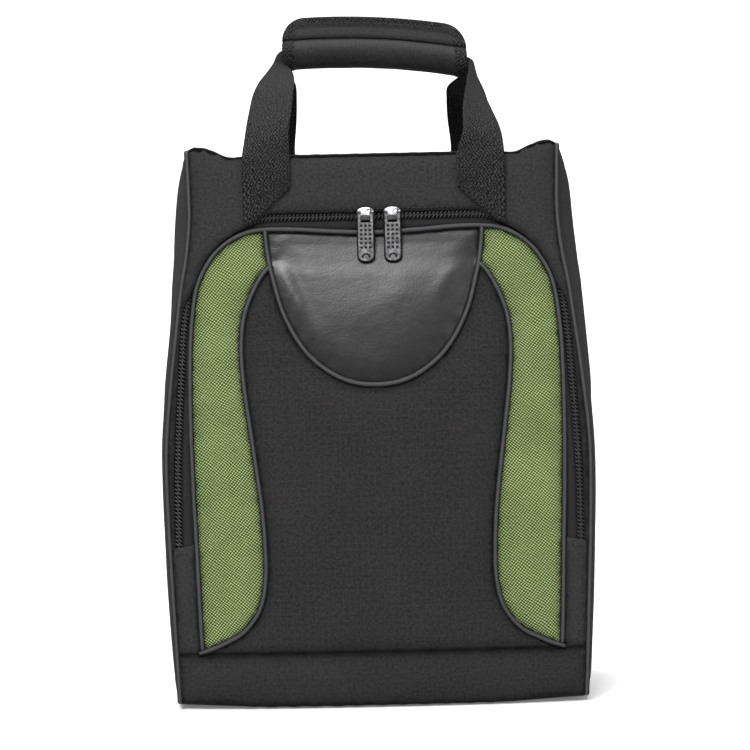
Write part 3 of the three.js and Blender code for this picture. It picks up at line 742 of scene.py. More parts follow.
# Black for painted shade: in the pulls' pits and slot, along their rim, and round the sliders.
shade_black = moulded("black_painted_shade", (0.001, 0.001, 0.001), (0.003, 0.003, 0.003), 0.5)
board = moulded("base_board", (0.012, 0.012, 0.012), (0.022, 0.022, 0.022), 0.5, 0.1)
# Two copies of the plated metal, with their painted depth shade set at different heights.
metal = plated_metal("zip_metal", 4.9, 5.35)
bright_metal = plated_metal("slider_metal", 2.2, 3.2)
hooks = hook_cloth("hook_tape", (0.008, 0.008, 0.008), (0.035, 0.035, 0.036))


def place(piece, slot, body, *nodes):
    """Attaches a piece to the body that it rides on and hides the CAD nodes that it stands for. slot is not
    used.
    """
    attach(piece, body)
    if nodes:
        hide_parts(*nodes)
    return piece


def across_fold(piece, slot, *nodes):
    """A piece of the front whose placement is baked into its mesh, with the CAD nodes that it stands for
    hidden. slot is not used.
    """
    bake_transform(piece)
    if nodes:
        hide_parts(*nodes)
    return piece


# Front wall


def header_edge():
    """The header's free edge: beside the zip, and over it round the two upper corners."""
    inset = HEADER_INSET + (CORNER_INSET - HEADER_INSET) * corner_share(zip_line)
    inward = offset_line(zip_line, 1.0) - zip_line
    return zip_line - inset[:, None] * inward


def corner_share(points):
    """1 round the door's upper corners, where the header laps over the zip, and 0 elsewhere."""
    return smoothstep(68, 86, np.abs(points[:, 0])) * smoothstep(262, 282, points[:, 1])


def front_outlines():
    """The closed outlines and sewing lines that part the front wall."""
    keep_side = side_line[side_line[:, 1] < top_seam(TOP_HALF) - 1]
    low = [side_at(BOTTOM_EDGE + CORNER_LIFT), bottom_edge(135.0)]
    keep_side = np.vstack([[low], keep_side[keep_side[:, 1] > low[1] + 1]])
    xs = np.linspace(TOP_HALF, -TOP_HALF, 95)
    top = np.column_stack([xs, top_seam(xs)])
    bottom_xs = np.linspace(-low[0], low[0], 104)
    bottom = np.column_stack([bottom_xs, bottom_edge(bottom_xs)])
    wall = np.vstack([keep_side, top, mirrored(keep_side)[::-1], bottom[1:-1]])
    band_xs = np.linspace(-side_at(BAND_TOP), side_at(BAND_TOP), 108)
    band = np.column_stack([band_xs, np.full(len(band_xs), float(BAND_TOP))])
    header = header_edge()
    header = header[header[:, 1] >= FOLD_HEIGHT]
    header = np.vstack([[header[0, 0], FOLD_HEIGHT], header, [header[-1, 0], FOLD_HEIGHT]])
    door = door_line[door_line[:, 1] >= BAND_TOP]
    return {"wall": wall, "band": band, "header": header, "door": door}


def front_relief(flat, outlines, header_area, leather_area):
    """How far each point of the front's cloth stands out: pillowed between seams, with its creases."""
    seams = [outlines["band"], outlines["door"], centre_line, mirrored(centre_line), shield_line]
    gap = distance_to(flat, *seams)
    edge_gap = distance_to(flat, outlines["wall"])
    gap = np.where(header_area, 60, gap)
    nearest = np.minimum(gap, edge_gap)
    x, h = flat.T
    fullness = np.where(leather_area, 12, 4.5)
    relief = 0.2 + 2.3 * (1 - np.exp(-nearest / fullness))
    lap = 2.9 * corner_share(flat) + 1.5 * (1 - corner_share(flat))
    hem = np.exp(-distance_to(flat, outlines["header"]) / 4)
    relief = np.where(header_area, relief * (1 - hem) + lap * hem, relief)
    relief -= 2.0 * np.exp(-(h - bottom_edge(x)) / 2.5)
    roll = ((h - BAND_TOP + 2.6) / 1.5) ** 2
    groove = ((h - BAND_TOP + 6) / 2) ** 2
    relief += 0.9 * np.exp(-roll) - 0.5 * np.exp(-groove)
    relief -= 0.8 * np.exp(-np.maximum(top_seam(x) - h, 0) / 2.5)
    for start, end, width, height in LEATHER_FOLDS:
        gap_to_fold = distance_to(flat, np.array([start, end], float))
        along = smoothstep(end[1] - 6, end[1] + 14, h) * (1 - 0.75 * smoothstep(284, 298, h))
        across = np.exp(-((gap_to_fold / width) ** 2))
        relief += leather_area * along * height * across * (1 - np.exp(-nearest / 5))
    relief -= 1.1 * leather_area * smoothstep(284, 298, h)
    relief += 0.28 * np.exp(-nearest / 6) * ripple(flat, 4.5, 3.1)
    relief += 0.7 * smoothstep(6, 30, nearest) * ripple(flat, (55, 70), 7.7)
    # Creases beside the ears, and down the plain strips below the zip's ends
    fade = smoothstep(275, 330, h)
    wobble = np.abs(x) + 1.6 * ripple(flat, (30, 40), 5.5)
    for centre, depth, width in ((116.5, -1.2, 1.5), (112.8, 0.9, 1.8), (108.6, -0.8, 1.8), (104, 0.5, 2.4)):
        relief += fade * depth * np.exp(-(((wobble - centre) / width) ** 2))
    strip = smoothstep(119, 123, np.abs(x)) * smoothstep(104, 90, h)
    relief += strip * 0.6 * ripple(flat, (6, 45), 9.9)
    return relief


def build_front():
    """The front wall's cloth, cut along its seams from one net."""
    outlines = front_outlines()
    lines = [
        np.vstack([outlines["wall"], outlines["wall"][:1]]),
        outlines["band"], outlines["header"], outlines["door"],
        centre_line, mirrored(centre_line), shield_line,
        np.array([[door_line[0, 0] + 3.0, FOLD_HEIGHT], [outlines["header"][0, 0], FOLD_HEIGHT]]),
        np.array([[-door_line[0, 0] - 3.0, FOLD_HEIGHT], [-outlines["header"][0, 0], FOLD_HEIGHT]]),
    ]
    flat, triangles = net(lines)
    middles = flat[triangles].mean(1)
    in_wall = inside(middles, outlines["wall"])
    in_door = inside(middles, np.vstack([door_line, [[door_line[-1, 0], -5], [door_line[0, 0], -5]]]))
    in_header_cut = inside(middles, outlines["header"])
    in_shield = inside(middles, shield_line)
    in_centre = inside(middles, np.vstack([centre_line, mirrored(centre_line)[::-1]]))
    upper = middles[:, 1] > BAND_TOP
    header = in_wall & ~in_door & ~in_header_cut & (middles[:, 1] > FOLD_HEIGHT)
    strips = in_wall & ~in_door & upper & (middles[:, 1] < FOLD_HEIGHT)
    band = in_wall & ~upper
    shield = in_door & in_shield & upper
    centre = in_door & in_centre & ~in_shield & upper
    mesh = in_door & ~in_centre & ~in_shield & upper

    header_area = np.zeros(len(flat), bool)
    header_area[np.unique(triangles[header])] = True
    header_area &= distance_to(flat, outlines["wall"]) > 0.1
    leather_area = np.zeros(len(flat), bool)
    leather_area[np.unique(triangles[shield])] = True
    x, h = flat.T
    points = wall_points(x, h, front_swell(x, h) + front_relief(flat, outlines, header_area, leather_area))

    cloth = header | strips | band | shield | centre | mesh
    whole_front = cut_piece("front_cloth", points, flat, triangles, cloth, shell)
    used = np.unique(triangles[cloth])
    seam_gaps = distance_to(flat, *lines[:-2])
    under_pulls = leather_area * smoothstep(255, 292, h)
    cap = np.where(header_area, 0.35, 1.9 - 1.6 * under_pulls)[used]
    settle(whole_front, seam_gaps[used] < 0.3, (0, -14, 0), 0.006, cap)
    settled = points.copy()
    settled[used] = np.array([v.co for v in whole_front.data.vertices]) / MM
    bpy.data.objects.remove(whole_front)

    def cut(name, chosen, finish, thickness=PANEL_THICKNESS):
        piece = cut_piece(name, settled, flat, triangles, chosen, finish, seam_gaps)
        return thicken(piece, thickness, lining)

    # The header's painted seam shade comes from its outer and free edges, kept a millimetre off.
    seam_gaps = np.where(header_area, distance_to(flat, outlines["wall"], outlines["header"]) + 1, seam_gaps)
    left, right = middles[:, 0] < 0, middles[:, 0] >= 0
    pads = [
        place(cut("bottom_band_cloth", band, band_cloth), "band_fabric", "bag", "bottom_band"),
        place(cut("header_cloth", header, shell), "shell_fabric", "bag", "header_panel"),
        across_fold(cut("centre_cloth", centre, ripstop), "ripstop",
                    "lower_centre_panel", "door_centre_panel"),
    ]
    for name, half in (("left", left), ("right", right)):
        strip = place(cut(f"{name}_strip_cloth", strips & half, shell), "shell_fabric",
                      "bag", f"{name}_side_strip")
        piece = across_fold(cut(f"{name}_mesh_cloth", mesh & half, green, 1.4), "green_mesh",
                            f"{name}_lower_mesh", f"{name}_door_mesh")
    patch = place(cut("shield_cloth", shield, leather, 1.4), "leather", "door", "leather_shield")
    smoother(patch)


def build_front_pipings():
    """Pipings of the front wall's inner seams."""
    def cord(name, line, out=PIPING_OUT):
        return tube_piece(name, on_front(line, out), PIPING_RADIUS, piping_cloth)

    door = door_line[door_line[:, 1] > BAND_TOP + 2.5]
    across_fold(cord("door_piping_cord", door), "piping",
                "door_edge_piping", "left_lower_door_piping", "right_lower_door_piping")
    for name, side in SIDES:
        line = spline([[120, 37.4]] + CENTRE_LINE[1:-1] + [[70.5, 292]])
        line = line if side > 0 else mirrored(line)
        across_fold(cord(f"{name}_centre_piping_cord", line), "piping",
                    f"{name}_lower_centre_piping", f"{name}_centre_piping")
    shield = whole([[72.4, 316]] + SHIELD_LINE[1:])
    place(cord("shield_piping_cord", shield), "piping", "door", "shield_piping")


def build_edge_pipings():
    """Pipings that run up the four upright edges and over the ears."""
    for wall_name, facing in (("front", 1), ("back", -1)):
        for name, side in SIDES:
            upright = side_line[(side_line[:, 1] > 4.5) & (side_line[:, 1] < 371.5)]
            line = upright * np.array([side * facing, 1])
            cord = tube_piece(f"{name}_{wall_name}_edge_cord", wall_points(*line.T, PIPING_OUT - 0.3, facing),
                              PIPING_RADIUS, piping_cloth, up=(0, -facing, 0))
            place(cord, "piping", "bag", f"{name}_{wall_name}_edge_piping")


# Zip


def zip_ribbon(name, rows, finish, lowest):
    """A strip beside the zip, from pairs of a distance from the zip's middle and a height above the wall."""
    points = []
    for aside, out in rows:
        moved = offset_line(zip_line, aside)
        moved[:, 1] = np.maximum(moved[:, 1], lowest)
        points.append(on_front(moved, out))
    return grid_piece(name, points, finish, flip=rows[0][0] > rows[-1][0])


def zip_teeth(name, side, finish):
    """One half of the coil: slanting turns of nylon along the zip's middle."""
    line = resample(zip_line[zip_line[:, 1] > FOLD_HEIGHT + 0.5], TOOTH_PITCH)
    along = np.gradient(line, axis=0)
    along /= np.linalg.norm(along, axis=1)[:, None]
    normal = np.column_stack([-along[:, 1], along[:, 0]])
    points, faces, uvs = [], [], []
    shape = ((-0.5, 0.5), (0.0, 1.0), (1.6, 1.0), (2.3, 0.5))
    for spot, a, n in zip(line, along, normal):
        first = len(points)
        for reach, girth in shape:
            middle = spot + side * reach * n + (0.6 * side * reach + 0.65 * side) * a
            base = on_front(middle[None], 0.1)[0]
            a3 = np.array([a[0], 0, a[1]])
            for turn in range(6):
                angle = math.pi / 3 * turn
                away = 0.66 * math.cos(angle) * a3 + np.array([0, -0.75 * math.sin(angle), 0])
                points.append(base + girth * away)
        for ring in range(len(shape) - 1):
            for turn in range(6):
                a0 = first + 6 * ring + turn
                b0 = first + 6 * ring + (turn + 1) % 6
                face = [a0, b0, b0 + 6, a0 + 6]
                faces.append(face if side < 0 else face[::-1])
                uvs.append([(turn, ring), (turn + 1, ring), (turn + 1, ring + 1), (turn, ring + 1)])
        for ring in (0, len(shape) - 1):
            cap = [first + 6 * ring + turn for turn in range(6)]
            faces.append(cap[::-1] if (ring == 0) == (side < 0) else cap)
            uvs.append([(turn, ring) for turn in range(6)])
    return make_piece(name, points, faces, uvs, finish)


def build_zip():
    """Both tapes and coil halves of the zip, and the tab over each of its lower ends."""
    rows = [(-7.5, -1.9), (-5, -1.7), (-2.6, -1.5), (-0.4, -1.5)]
    outer = zip_ribbon("outer_tape_cloth", rows, tape, FOLD_HEIGHT - 4)
    thicken(place(outer, "zip_tape", "bag", "outer_zip_tape"), 0.7)
    rows = [
        (0.4, -1.5), (2.5, -1.5), (3.1, -0.9), (3.7, -0.1),
        (5.4, 0.35), (7.2, 0.3), (8.6, -0.3), (TAPE_EDGE, -0.9),
    ]
    inner = zip_ribbon("door_tape_cloth", rows, tape, FOLD_HEIGHT + 2.6)
    thicken(place(inner, "zip_tape", "door", "door_zip_tape"), 0.7)
    place(zip_teeth("outer_coil", -1, coil), "zip_coil", "bag", "outer_zip_coil")
    place(zip_teeth("door_coil", 1, coil), "zip_coil", "door", "door_zip_coil")
    for name, side in SIDES:
        rows = []
        for h, out in ((96, 0.6), (99.5, 1.7), (103, 1.9), (106, 1.6), (107.5, 0.9)):
            xs = np.linspace(END_TAB_INNER, END_TAB_OUTER, 7)
            share = (END_TAB_OUTER - xs) / (END_TAB_OUTER - END_TAB_INNER)
            hs = h + END_TAB_SLANT * share - 1.0
            rows.append(wall_points(side * xs, hs, front_swell(xs, hs) + out))
        tab = grid_piece(f"{name}_end_tab_cloth", rows, shell, flip=side < 0)
        thicken(place(tab, "shell_fabric", "bag", f"{name}_zip_end_tab"), 1.0)


# Other walls


def sewn_edge(shape):
    """Marks the outer points of a grid, which are held by their seams."""
    held = np.zeros(shape, bool)
    held[[0, -1], :] = True
    held[:, [0, -1]] = True
    return held.ravel()


def build_side_panels():
    """The stuffed side panels."""
    steps_up, steps_across = 92, 34
    for name, side in SIDES:
        v, u = np.meshgrid(np.linspace(0, 1, steps_up), np.linspace(0, 1, steps_across), indexing="ij")
        saddle = np.cos(np.pi * u) ** 2
        low = BOTTOM_EDGE + 0.6 + CORNER_LIFT * saddle
        h = low + v * (TOP_SEAM + 0.4 + 3.4 * saddle - low)
        front = wall_points(0, h, -1.0)[..., 1]
        spot = np.column_stack([(u * 2 * -front).ravel(), h.ravel()])
        edge = np.minimum(u, 1 - u) * 2 * -front
        bulge = bulge_at(h, name) * np.sin(np.pi * u) ** 0.9
        wrinkle = 1.3 * ripple(spot, (22, 120), 11.0 + side) + 0.5 * ripple(spot, (9, 60), 2.0 + side)
        wrinkle = wrinkle.reshape(h.shape) * smoothstep(0, 25, edge)
        pucker = 0.25 * ripple(spot, (20, 6), 4.0).reshape(h.shape) * np.exp(-edge / 8)
        x = side_at(h) + 0.2 + bulge + wrinkle + pucker - 1.6 * np.exp(-(h - low) / 3)
        y = front + u * 2 * -front
        points = np.stack([side * x, y, h * math.cos(LEAN)], axis=-1)
        uv = np.stack([y, h], axis=-1)
        panel = grid_piece(f"{name}_side_cloth", points, shell, uv=uv, flip=side < 0)
        settle(panel, sewn_edge(h.shape), (14 * side, 0, 0), 0.012, 1.6)
        # Painted shade along the panel's sewn edges and its foot.
        shade_seams(panel, np.minimum(edge, h - low + 1))
        thicken(panel, PANEL_THICKNESS, lining)
        place(panel, "shell_fabric", "bag", f"{name}_side_panel")


def build_top_panel():
    """The top panel, which rises to the ears and sags between them."""
    steps_across, steps_deep = 88, 30
    depth = np.linspace(-TOP_DEPTH / 2 - 0.6, TOP_DEPTH / 2 + 0.6, steps_deep)
    across = np.linspace(-1, 1, steps_across)
    y, u = np.meshgrid(depth, across, indexing="ij")
    bulge = np.where(u < 0, bulge_at(TOP_SEAM, "left"), bulge_at(TOP_SEAM, "right"))
    x = u * (side_at(TOP_SEAM) - 0.7 + bulge * np.cos(np.pi * y / (TOP_DEPTH + 3)))
    edge = np.clip(np.minimum(TOP_DEPTH / 2 + 0.6 - np.abs(y), 1e3), 0, None)
    middle = np.cos(np.pi * y / (TOP_DEPTH + 4))
    ears = top_seam(x) - TOP_SEAM
    spot = np.column_stack([x.ravel(), y.ravel()])
    z = TOP_SEAM * math.cos(LEAN) - 0.4 + ears * (1 - 0.55 * middle)
    z = z + 1.6 * (1 - np.exp(-edge / 5)) - 2.2 * middle
    z = z + (0.8 * ripple(spot, (45, 40), 1.5)).reshape(z.shape) * middle
    panel = grid_piece("top_cloth", np.stack([x, y, z], axis=-1), shell, uv=np.stack([x, y], axis=-1))
    settle(panel, sewn_edge(z.shape), (0, 0, -6), 0.006, 1.6)
    # Painted shade along the panel's sewn edges.
    shade_seams(panel, edge)
    thicken(panel, PANEL_THICKNESS, lining)
    place(panel, "shell_fabric", "bag", "top_panel")


def build_back():
    """The back wall's cloth, and the lined foam behind it."""
    outline = front_outlines()["wall"]
    closed = np.vstack([outline, outline[:1]])
    for name, finish, inset, base_out, nodes in (
        ("back_cloth", shell, 0, 0, ["back_panel"]),
        ("back_lining_cloth", lining, 9, -3.4, ["back_foam"]),
    ):
        edge = offset_line(closed, inset) if inset else closed
        flat, triangles = net([edge], NET_SPACING * (1.3 if inset else 1.1))
        chosen = inside(flat[triangles].mean(1), edge)
        x, h = flat.T
        gap = distance_to(flat, edge)
        relief = 2.2 * (1 - np.exp(-gap / 5)) + 0.2 - 2.0 * np.exp(-(h - bottom_edge(x)) / 2.5)
        if inset:
            relief = 0.6 * (1 - np.exp(-gap / 5))
        relief += smoothstep(4, 30, gap) * 0.8 * ripple(flat, (60, 75), 6.0)
        relief += 0.25 * np.exp(-gap / 6) * ripple(flat, 5, 2.2)
        points = wall_points(x, h, back_swell(x, h) + relief + base_out, -1)
        # Painted shade along the sewn edges, set by gap.
        panel = cut_piece(name, points, flat, triangles, chosen, finish, gap)
        if not inset:
            used = np.unique(triangles[chosen])
            settle(panel, gap[used] < 0.3, (0, 14, 0), 0.006, 2.2)
        thicken(panel, PANEL_THICKNESS if not inset else 2.6, lining)
        place(panel, "shell_fabric" if not inset else "lining", "bag", *nodes)


def build_door_lining():
    """The lining behind the door, sewn to its tape, which runs on down inside the front."""
    edge = offset_line(zip_line, 9.0)
    edge = edge[edge[:, 1] > FOLD_HEIGHT - 2]
    outline = np.vstack([[[116, 12], [118, 60]], edge, [[-118, 60], [-116, 12]]])
    outline = resample(np.vstack([outline, outline[:1]]), 4.5)
    flat, triangles = net([outline], 5.2)
    chosen = inside(flat[triangles].mean(1), outline)
    x, h = flat.T
    gap = distance_to(flat, outline)
    relief = -2.4 - 0.8 * (1 - np.exp(-gap / 8))
    relief = relief - 0.7 * smoothstep(4, 25, gap) * (1 + ripple(flat, (40, 60), 8.0))
    points = wall_points(x, h, front_swell(x, h) + relief)
    piece = cut_piece("door_lining_cloth", points, flat, triangles, chosen, lining)
    thicken(piece, 0.6)
    across_fold(piece, "lining", "door_lining")


def build_base():
    """The base's cloth and the stiff board that lies on it."""
    def outline(half_width, half_depth, bow, corner):
        turns = np.linspace(-0.5, 0.5, 15) * math.pi
        depths = half_depth * np.sign(np.sin(turns)) * np.abs(np.sin(turns)) ** corner
        end = np.column_stack([half_width + bow * np.cos(turns), depths])
        return resample(np.vstack([end, -end, end[:1]]), 5)[:-1]

    for name, shape, profile, finish, slot, node in (
        ("base_cloth", (133.4, 74.2, 6.5, 0.9), ((3, 0), (1, 0.2), (0, 1.2), (0.4, 2.2), (3, 2.8)),
         band_cloth, "band_fabric", "base_panel"),
        ("base_board_sheet", (129.5, 70.5, 5, 0.9), ((0.6, 3.0), (0, 3.4), (0, 5.0), (0.6, 5.3)), board,
         "base_board", "base_board"),
    ):
        ring = outline(*shape)
        directions = ring / np.linalg.norm(ring, axis=1)[:, None]
        rings = []
        for inset, z in profile:
            rings.append(np.column_stack([ring - inset * directions, np.full(len(ring), z)]))
        points = np.vstack(rings)
        points[:, 2] += 0.9 * CORNER_LIFT * smoothstep(70, 136, np.abs(points[:, 0]))
        count = len(ring)
        faces = [list(range(count))[::-1], list(range((len(rings) - 1) * count, len(rings) * count))]
        for level in range(len(rings) - 1):
            for index in range(count):
                after = (index + 1) % count
                faces.append([level * count + index, level * count + after,
                              (level + 1) * count + after, (level + 1) * count + index])
        uvs = [points[face][:, :2] + points[face][:, 2:] for face in faces]
        piece = make_piece(name, points, faces, uvs, finish)
        for polygon in list(piece.data.polygons)[:2]:
            polygon.use_smooth = False
        place(piece, slot, "bag", node)


# Handle


def grip_drop(x):
    """How far the grip hangs below level: it sags in the hand and tips down to the right."""
    aside = np.asarray(x, float) - GRIP_SHIFT
    return GRIP_SAG * (aside / GRIP_HALF_LENGTH) ** 2 + aside * math.tan(GRIP_TILT)


def strap_path(name, side, facing):
    """Centre line and half widths of one strap, from the bottom of its foot into the grip's end."""
    outer, inner = (np.array(edge, float) for edge in zip(*STRAPS[name]))
    foot_x = (outer[0, 0] + inner[0, 0]) / 2
    middle = [wall_points(foot_x, h, FOOT_OUT + lift)
              for h, lift in ((FOOT_BOTTOM, 0), (346, 0.2), (360, 0.4))]
    middle = np.vstack([middle, (outer + inner) / 2])
    across = np.vstack([[(FOOT_HALF, 0, 0)] * 3, (outer - inner) / 2])
    turned = np.array([side, facing, 1])
    joined = spline(np.hstack([middle * turned, across * turned]), 2.2)
    return joined[:, :3], joined[:, 3:]


def build_straps():
    """Each strap with its sewn foot."""
    places = np.linspace(-1, 1, 13)
    for wall_name, facing in (("front", 1), ("back", -1)):
        for name, side in SIDES:
            middle, across = strap_path(f"{name}_{wall_name}", side, facing)
            out = np.cross(np.gradient(middle, axis=0), across)
            out /= np.linalg.norm(out, axis=1)[:, None]
            out *= np.sign(out[0, 1] * -facing)
            arch = 0.5 * (1 - places**2)[None, :, None] * smoothstep(366, 385, middle[:, 2])[:, None, None]
            points = middle[:, None] + places[None, :, None] * across[:, None] + arch * out[:, None]
            points += 0.25 * np.sin(middle[:, 2] / 5)[:, None, None] * out[:, None]
            if facing > 0:
                edge = header_edge()[::-1]
                edge_height = np.interp(points[..., 0], edge[:, 0], edge[:, 1]) + 0.8
                edge_height = np.maximum(edge_height, FOOT_CLEARANCE - 0.9 * (np.abs(points[..., 0]) - 69))
                near_foot = 1 - smoothstep(FOOT_BOTTOM, 356, points[..., 2])
                points[..., 2] += (edge_height - FOOT_BOTTOM) * near_foot
            lengths = np.concatenate([[0], np.cumsum(np.linalg.norm(np.diff(middle, axis=0), axis=1))])
            uv = np.stack(np.meshgrid(16 * places, lengths), axis=-1)
            strap = grid_piece(f"{name}_{wall_name}_strap_webbing", points, strap_cloth, uv=uv,
                               flip=side * facing < 0)
            solid = thicken(strap, STRAP_THICKNESS).modifiers["thickness"]
            solid.offset = 0
            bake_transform(strap)
            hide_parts(f"{name}_{wall_name}_strap", f"{name}_{wall_name}_strap_foot")


def build_grip():
    """The padded tube of the grip, with a fin of two flaps above it."""
    end = GRIP_HALF_LENGTH
    band = end - BINDING_WIDTH
    outer = [(x, GRIP_RADIUS) for x in np.linspace(-band, band, 44)]
    lip = [(band + 0.6, GRIP_RADIUS + 0.5), (end - 2.4, GRIP_RADIUS + 0.5), (end - 0.7, GRIP_RADIUS - 0.3),
           (end, GRIP_RADIUS - 1.6), (end - 0.6, GRIP_BORE + 0.3), (end - 3, GRIP_BORE)]
    bore = [(x, GRIP_BORE) for x in np.linspace(band - 4, -band + 4, 12)]
    profile = outer + lip + bore + [(-x, radius) for x, radius in reversed(lip)]
    angles = np.linspace(0, 2 * np.pi, 30, endpoint=False)
    rows = []
    for x, radius in profile:
        y, z = radius * np.cos(angles), radius * np.sin(angles)
        spot = np.column_stack([np.full(len(angles), x), angles * GRIP_RADIUS])
        soft = 0.3 * ripple(spot, (16, 9), 3.0) * (radius > GRIP_BORE + 1)
        z = z * (1 + soft / 10) + GRIP_HEIGHT - grip_drop(x + GRIP_SHIFT)
        rows.append(np.column_stack([np.full(len(angles), x + GRIP_SHIFT), y * (1 + soft / 10), z]))
    pad = grid_piece("grip_tube_cloth", rows, grip_cloth, around=True, closed=True)
    bind_ends(pad, band)
    place(pad, "grip_fabric", "handle", "grip_pad")

    for name, body, near, far, nodes in (("rear_fin_cloth", "handle", 1.2, 3.7, []),
                                         ("flap_cloth", "flap", -3.8, -1.2, ["grip_flap"])):
        fin = fin_piece(name, near, far)
        bind_ends(fin, band)
        if body == "flap":
            bend_flap(fin)
            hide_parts(*nodes)
        else:
            place(fin, "grip_fabric", body)
    line = fin_outline(4.8)
    line = line[line[:, 1] > FIN_BOTTOM + 2.5]
    x = line[:, 0] + GRIP_SHIFT
    stitches = np.column_stack([x, np.full(len(line), -4.0), line[:, 1] - grip_drop(x)])
    bend_flap(stitch_piece("flap_stitches", [stitches], [(0, -1, 0)], thread))
    for name, y, body in (("hook_tape", 0.75, "handle"), ("loop_tape", -0.75, "flap")):
        strip = grip_strip(name, 48, y, 0.5, GRIP_TOP - 12, GRIP_TOP - 2.8, hooks)
        place(strip, "zip_tape", body, "hook_strip" if body == "handle" else "loop_strip")
    core = grip_strip("folded_straps", GRIP_HALF_LENGTH - 4, 0, 3.4, GRIP_HEIGHT - 4.6, GRIP_HEIGHT + 4.6,
                      strap_cloth)
    place(core, "webbing", "handle", "strap_core")


def bend_flap(piece):
    """Bakes the placement of a piece of the flap into its mesh."""
    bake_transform(piece)


def grip_strip(name, half_length, y, half_thickness, low, high, finish):
    """A flat bar that follows the grip's sag."""
    corners = ((-1, low), (-1, high), (1, high), (1, low))
    rows = []
    for share, shrink in ((-1, 0.02), (-1, 1), *((k / 12, 1) for k in range(-11, 12)), (1, 1), (1, 0.02)):
        x = share * half_length + GRIP_SHIFT
        middle = (low + high) / 2
        rows.append([(x, y + shrink * sign * half_thickness, middle + shrink * (z - middle) - grip_drop(x))
                     for sign, z in corners])
    return grid_piece(name, rows, finish, around=True)


def fin_outline(inset=0.0, spacing=2.4):
    """Outline of the grip's fin, from its lower right corner over the top to its lower left one."""
    end, top = GRIP_HALF_LENGTH - inset, GRIP_TOP - inset
    radius = FIN_CORNER - inset * 0.6
    turns = np.linspace(0, math.pi / 2, 9)
    corner = np.column_stack([end - radius + radius * np.cos(turns), top - radius + radius * np.sin(turns)])
    half = np.vstack([[[end, FIN_BOTTOM]], corner, [[0, top]]])
    return resample(np.vstack([half, mirrored(half[:-1])[::-1]]), spacing)


def fin_piece(name, near, far):
    """One flap of the grip's fin: a thin pad that thins towards its edges."""
    ring = fin_outline()
    ring = np.vstack([ring, resample(np.array([ring[-1], ring[0]]), 2.4)[1:-1]])
    centre_height = (FIN_BOTTOM + GRIP_TOP) / 2
    middle, half = (near + far) / 2, (far - near) / 2
    rings = []
    for share, thickness in ((0.0, 1.0), (0.5, 1.0), (0.86, 0.98), (0.96, 0.8), (1.0, 0.35)):
        shrunk = ring.copy()
        shrunk[:, 0] = ring[:, 0] * (1 - 0.13 * (1 - share)) + GRIP_SHIFT
        shrunk[:, 1] = centre_height + (ring[:, 1] - centre_height) * share
        rings.append((shrunk, thickness))
    rows = []
    for facing, order in ((-1, rings), (1, rings[::-1])):
        for flat, thickness in order:
            drop = grip_drop(flat[:, 0])
            foot = 2.2 * smoothstep(GRIP_TOP - 7, FIN_BOTTOM, flat[:, 1]) * (facing * middle > 0)
            y = middle + facing * (half + foot) * thickness
            rows.append(np.column_stack([flat[:, 0], y, flat[:, 1] - drop]))
    uv_rows = [np.vstack([row, row[:1]])[:, [0, 2]] for row in rows]
    return grid_piece(name, rows, grip_cloth, uv=np.array(uv_rows), around=True)


def bind_ends(piece, band):
    """Gives the ends of the grip, beyond the band, the material of the binding webbing."""
    piece.data.materials.append(strap_cloth)
    for polygon in piece.data.polygons:
        x, _, z = polygon.center / MM
        if abs(x - GRIP_SHIFT) > band or z + grip_drop(x) > GRIP_TOP - 2.5:
            polygon.material_index = 1


def dress_cad_nodes():
    """Materials for the CAD nodes that stay in view."""
    for node in ("left_zip_slider", "right_zip_slider", "left_zip_pull", "right_zip_pull"):
        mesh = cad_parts[node].data
        mesh.materials.clear()
        mesh.materials.append(metal)


def ovals(name, spots, radii, finish):
    """Flattened balls at places on the front wall, each given by x, h and out."""
    points, faces, uvs = [], [], []
    turns = np.linspace(0, 2 * math.pi, 12, endpoint=False)
    tilts = np.linspace(-0.48, 0.48, 7) * math.pi
    for x, h, out in spots:
        first = len(points)
        for tilt in tilts:
            points.extend(wall_points(x + radii[0] * math.cos(tilt) * np.cos(turns),
                                      h + radii[1] * math.cos(tilt) * np.sin(turns),
                                      out + radii[2] * math.sin(tilt)))
        for ring in range(len(tilts) - 1):
            for turn in range(len(turns)):
                after = (turn + 1) % len(turns)
                low, high = first + ring * len(turns), first + (ring + 1) * len(turns)
                faces.append([low + turn, low + after, high + after, high + turn])
                uvs.append([(turn, ring), (turn + 1, ring), (turn + 1, ring + 1), (turn, ring + 1)])
        faces.append(list(range(first, first + len(turns)))[::-1])
        uvs.append([(turn, 0) for turn in range(len(turns))])
        last = first + (len(tilts) - 1) * len(turns)
        faces.append(list(range(last, last + len(turns))))
        uvs.append([(turn, len(tilts) - 1) for turn in range(len(turns))])
    return make_piece(name, points, faces, uvs, finish)


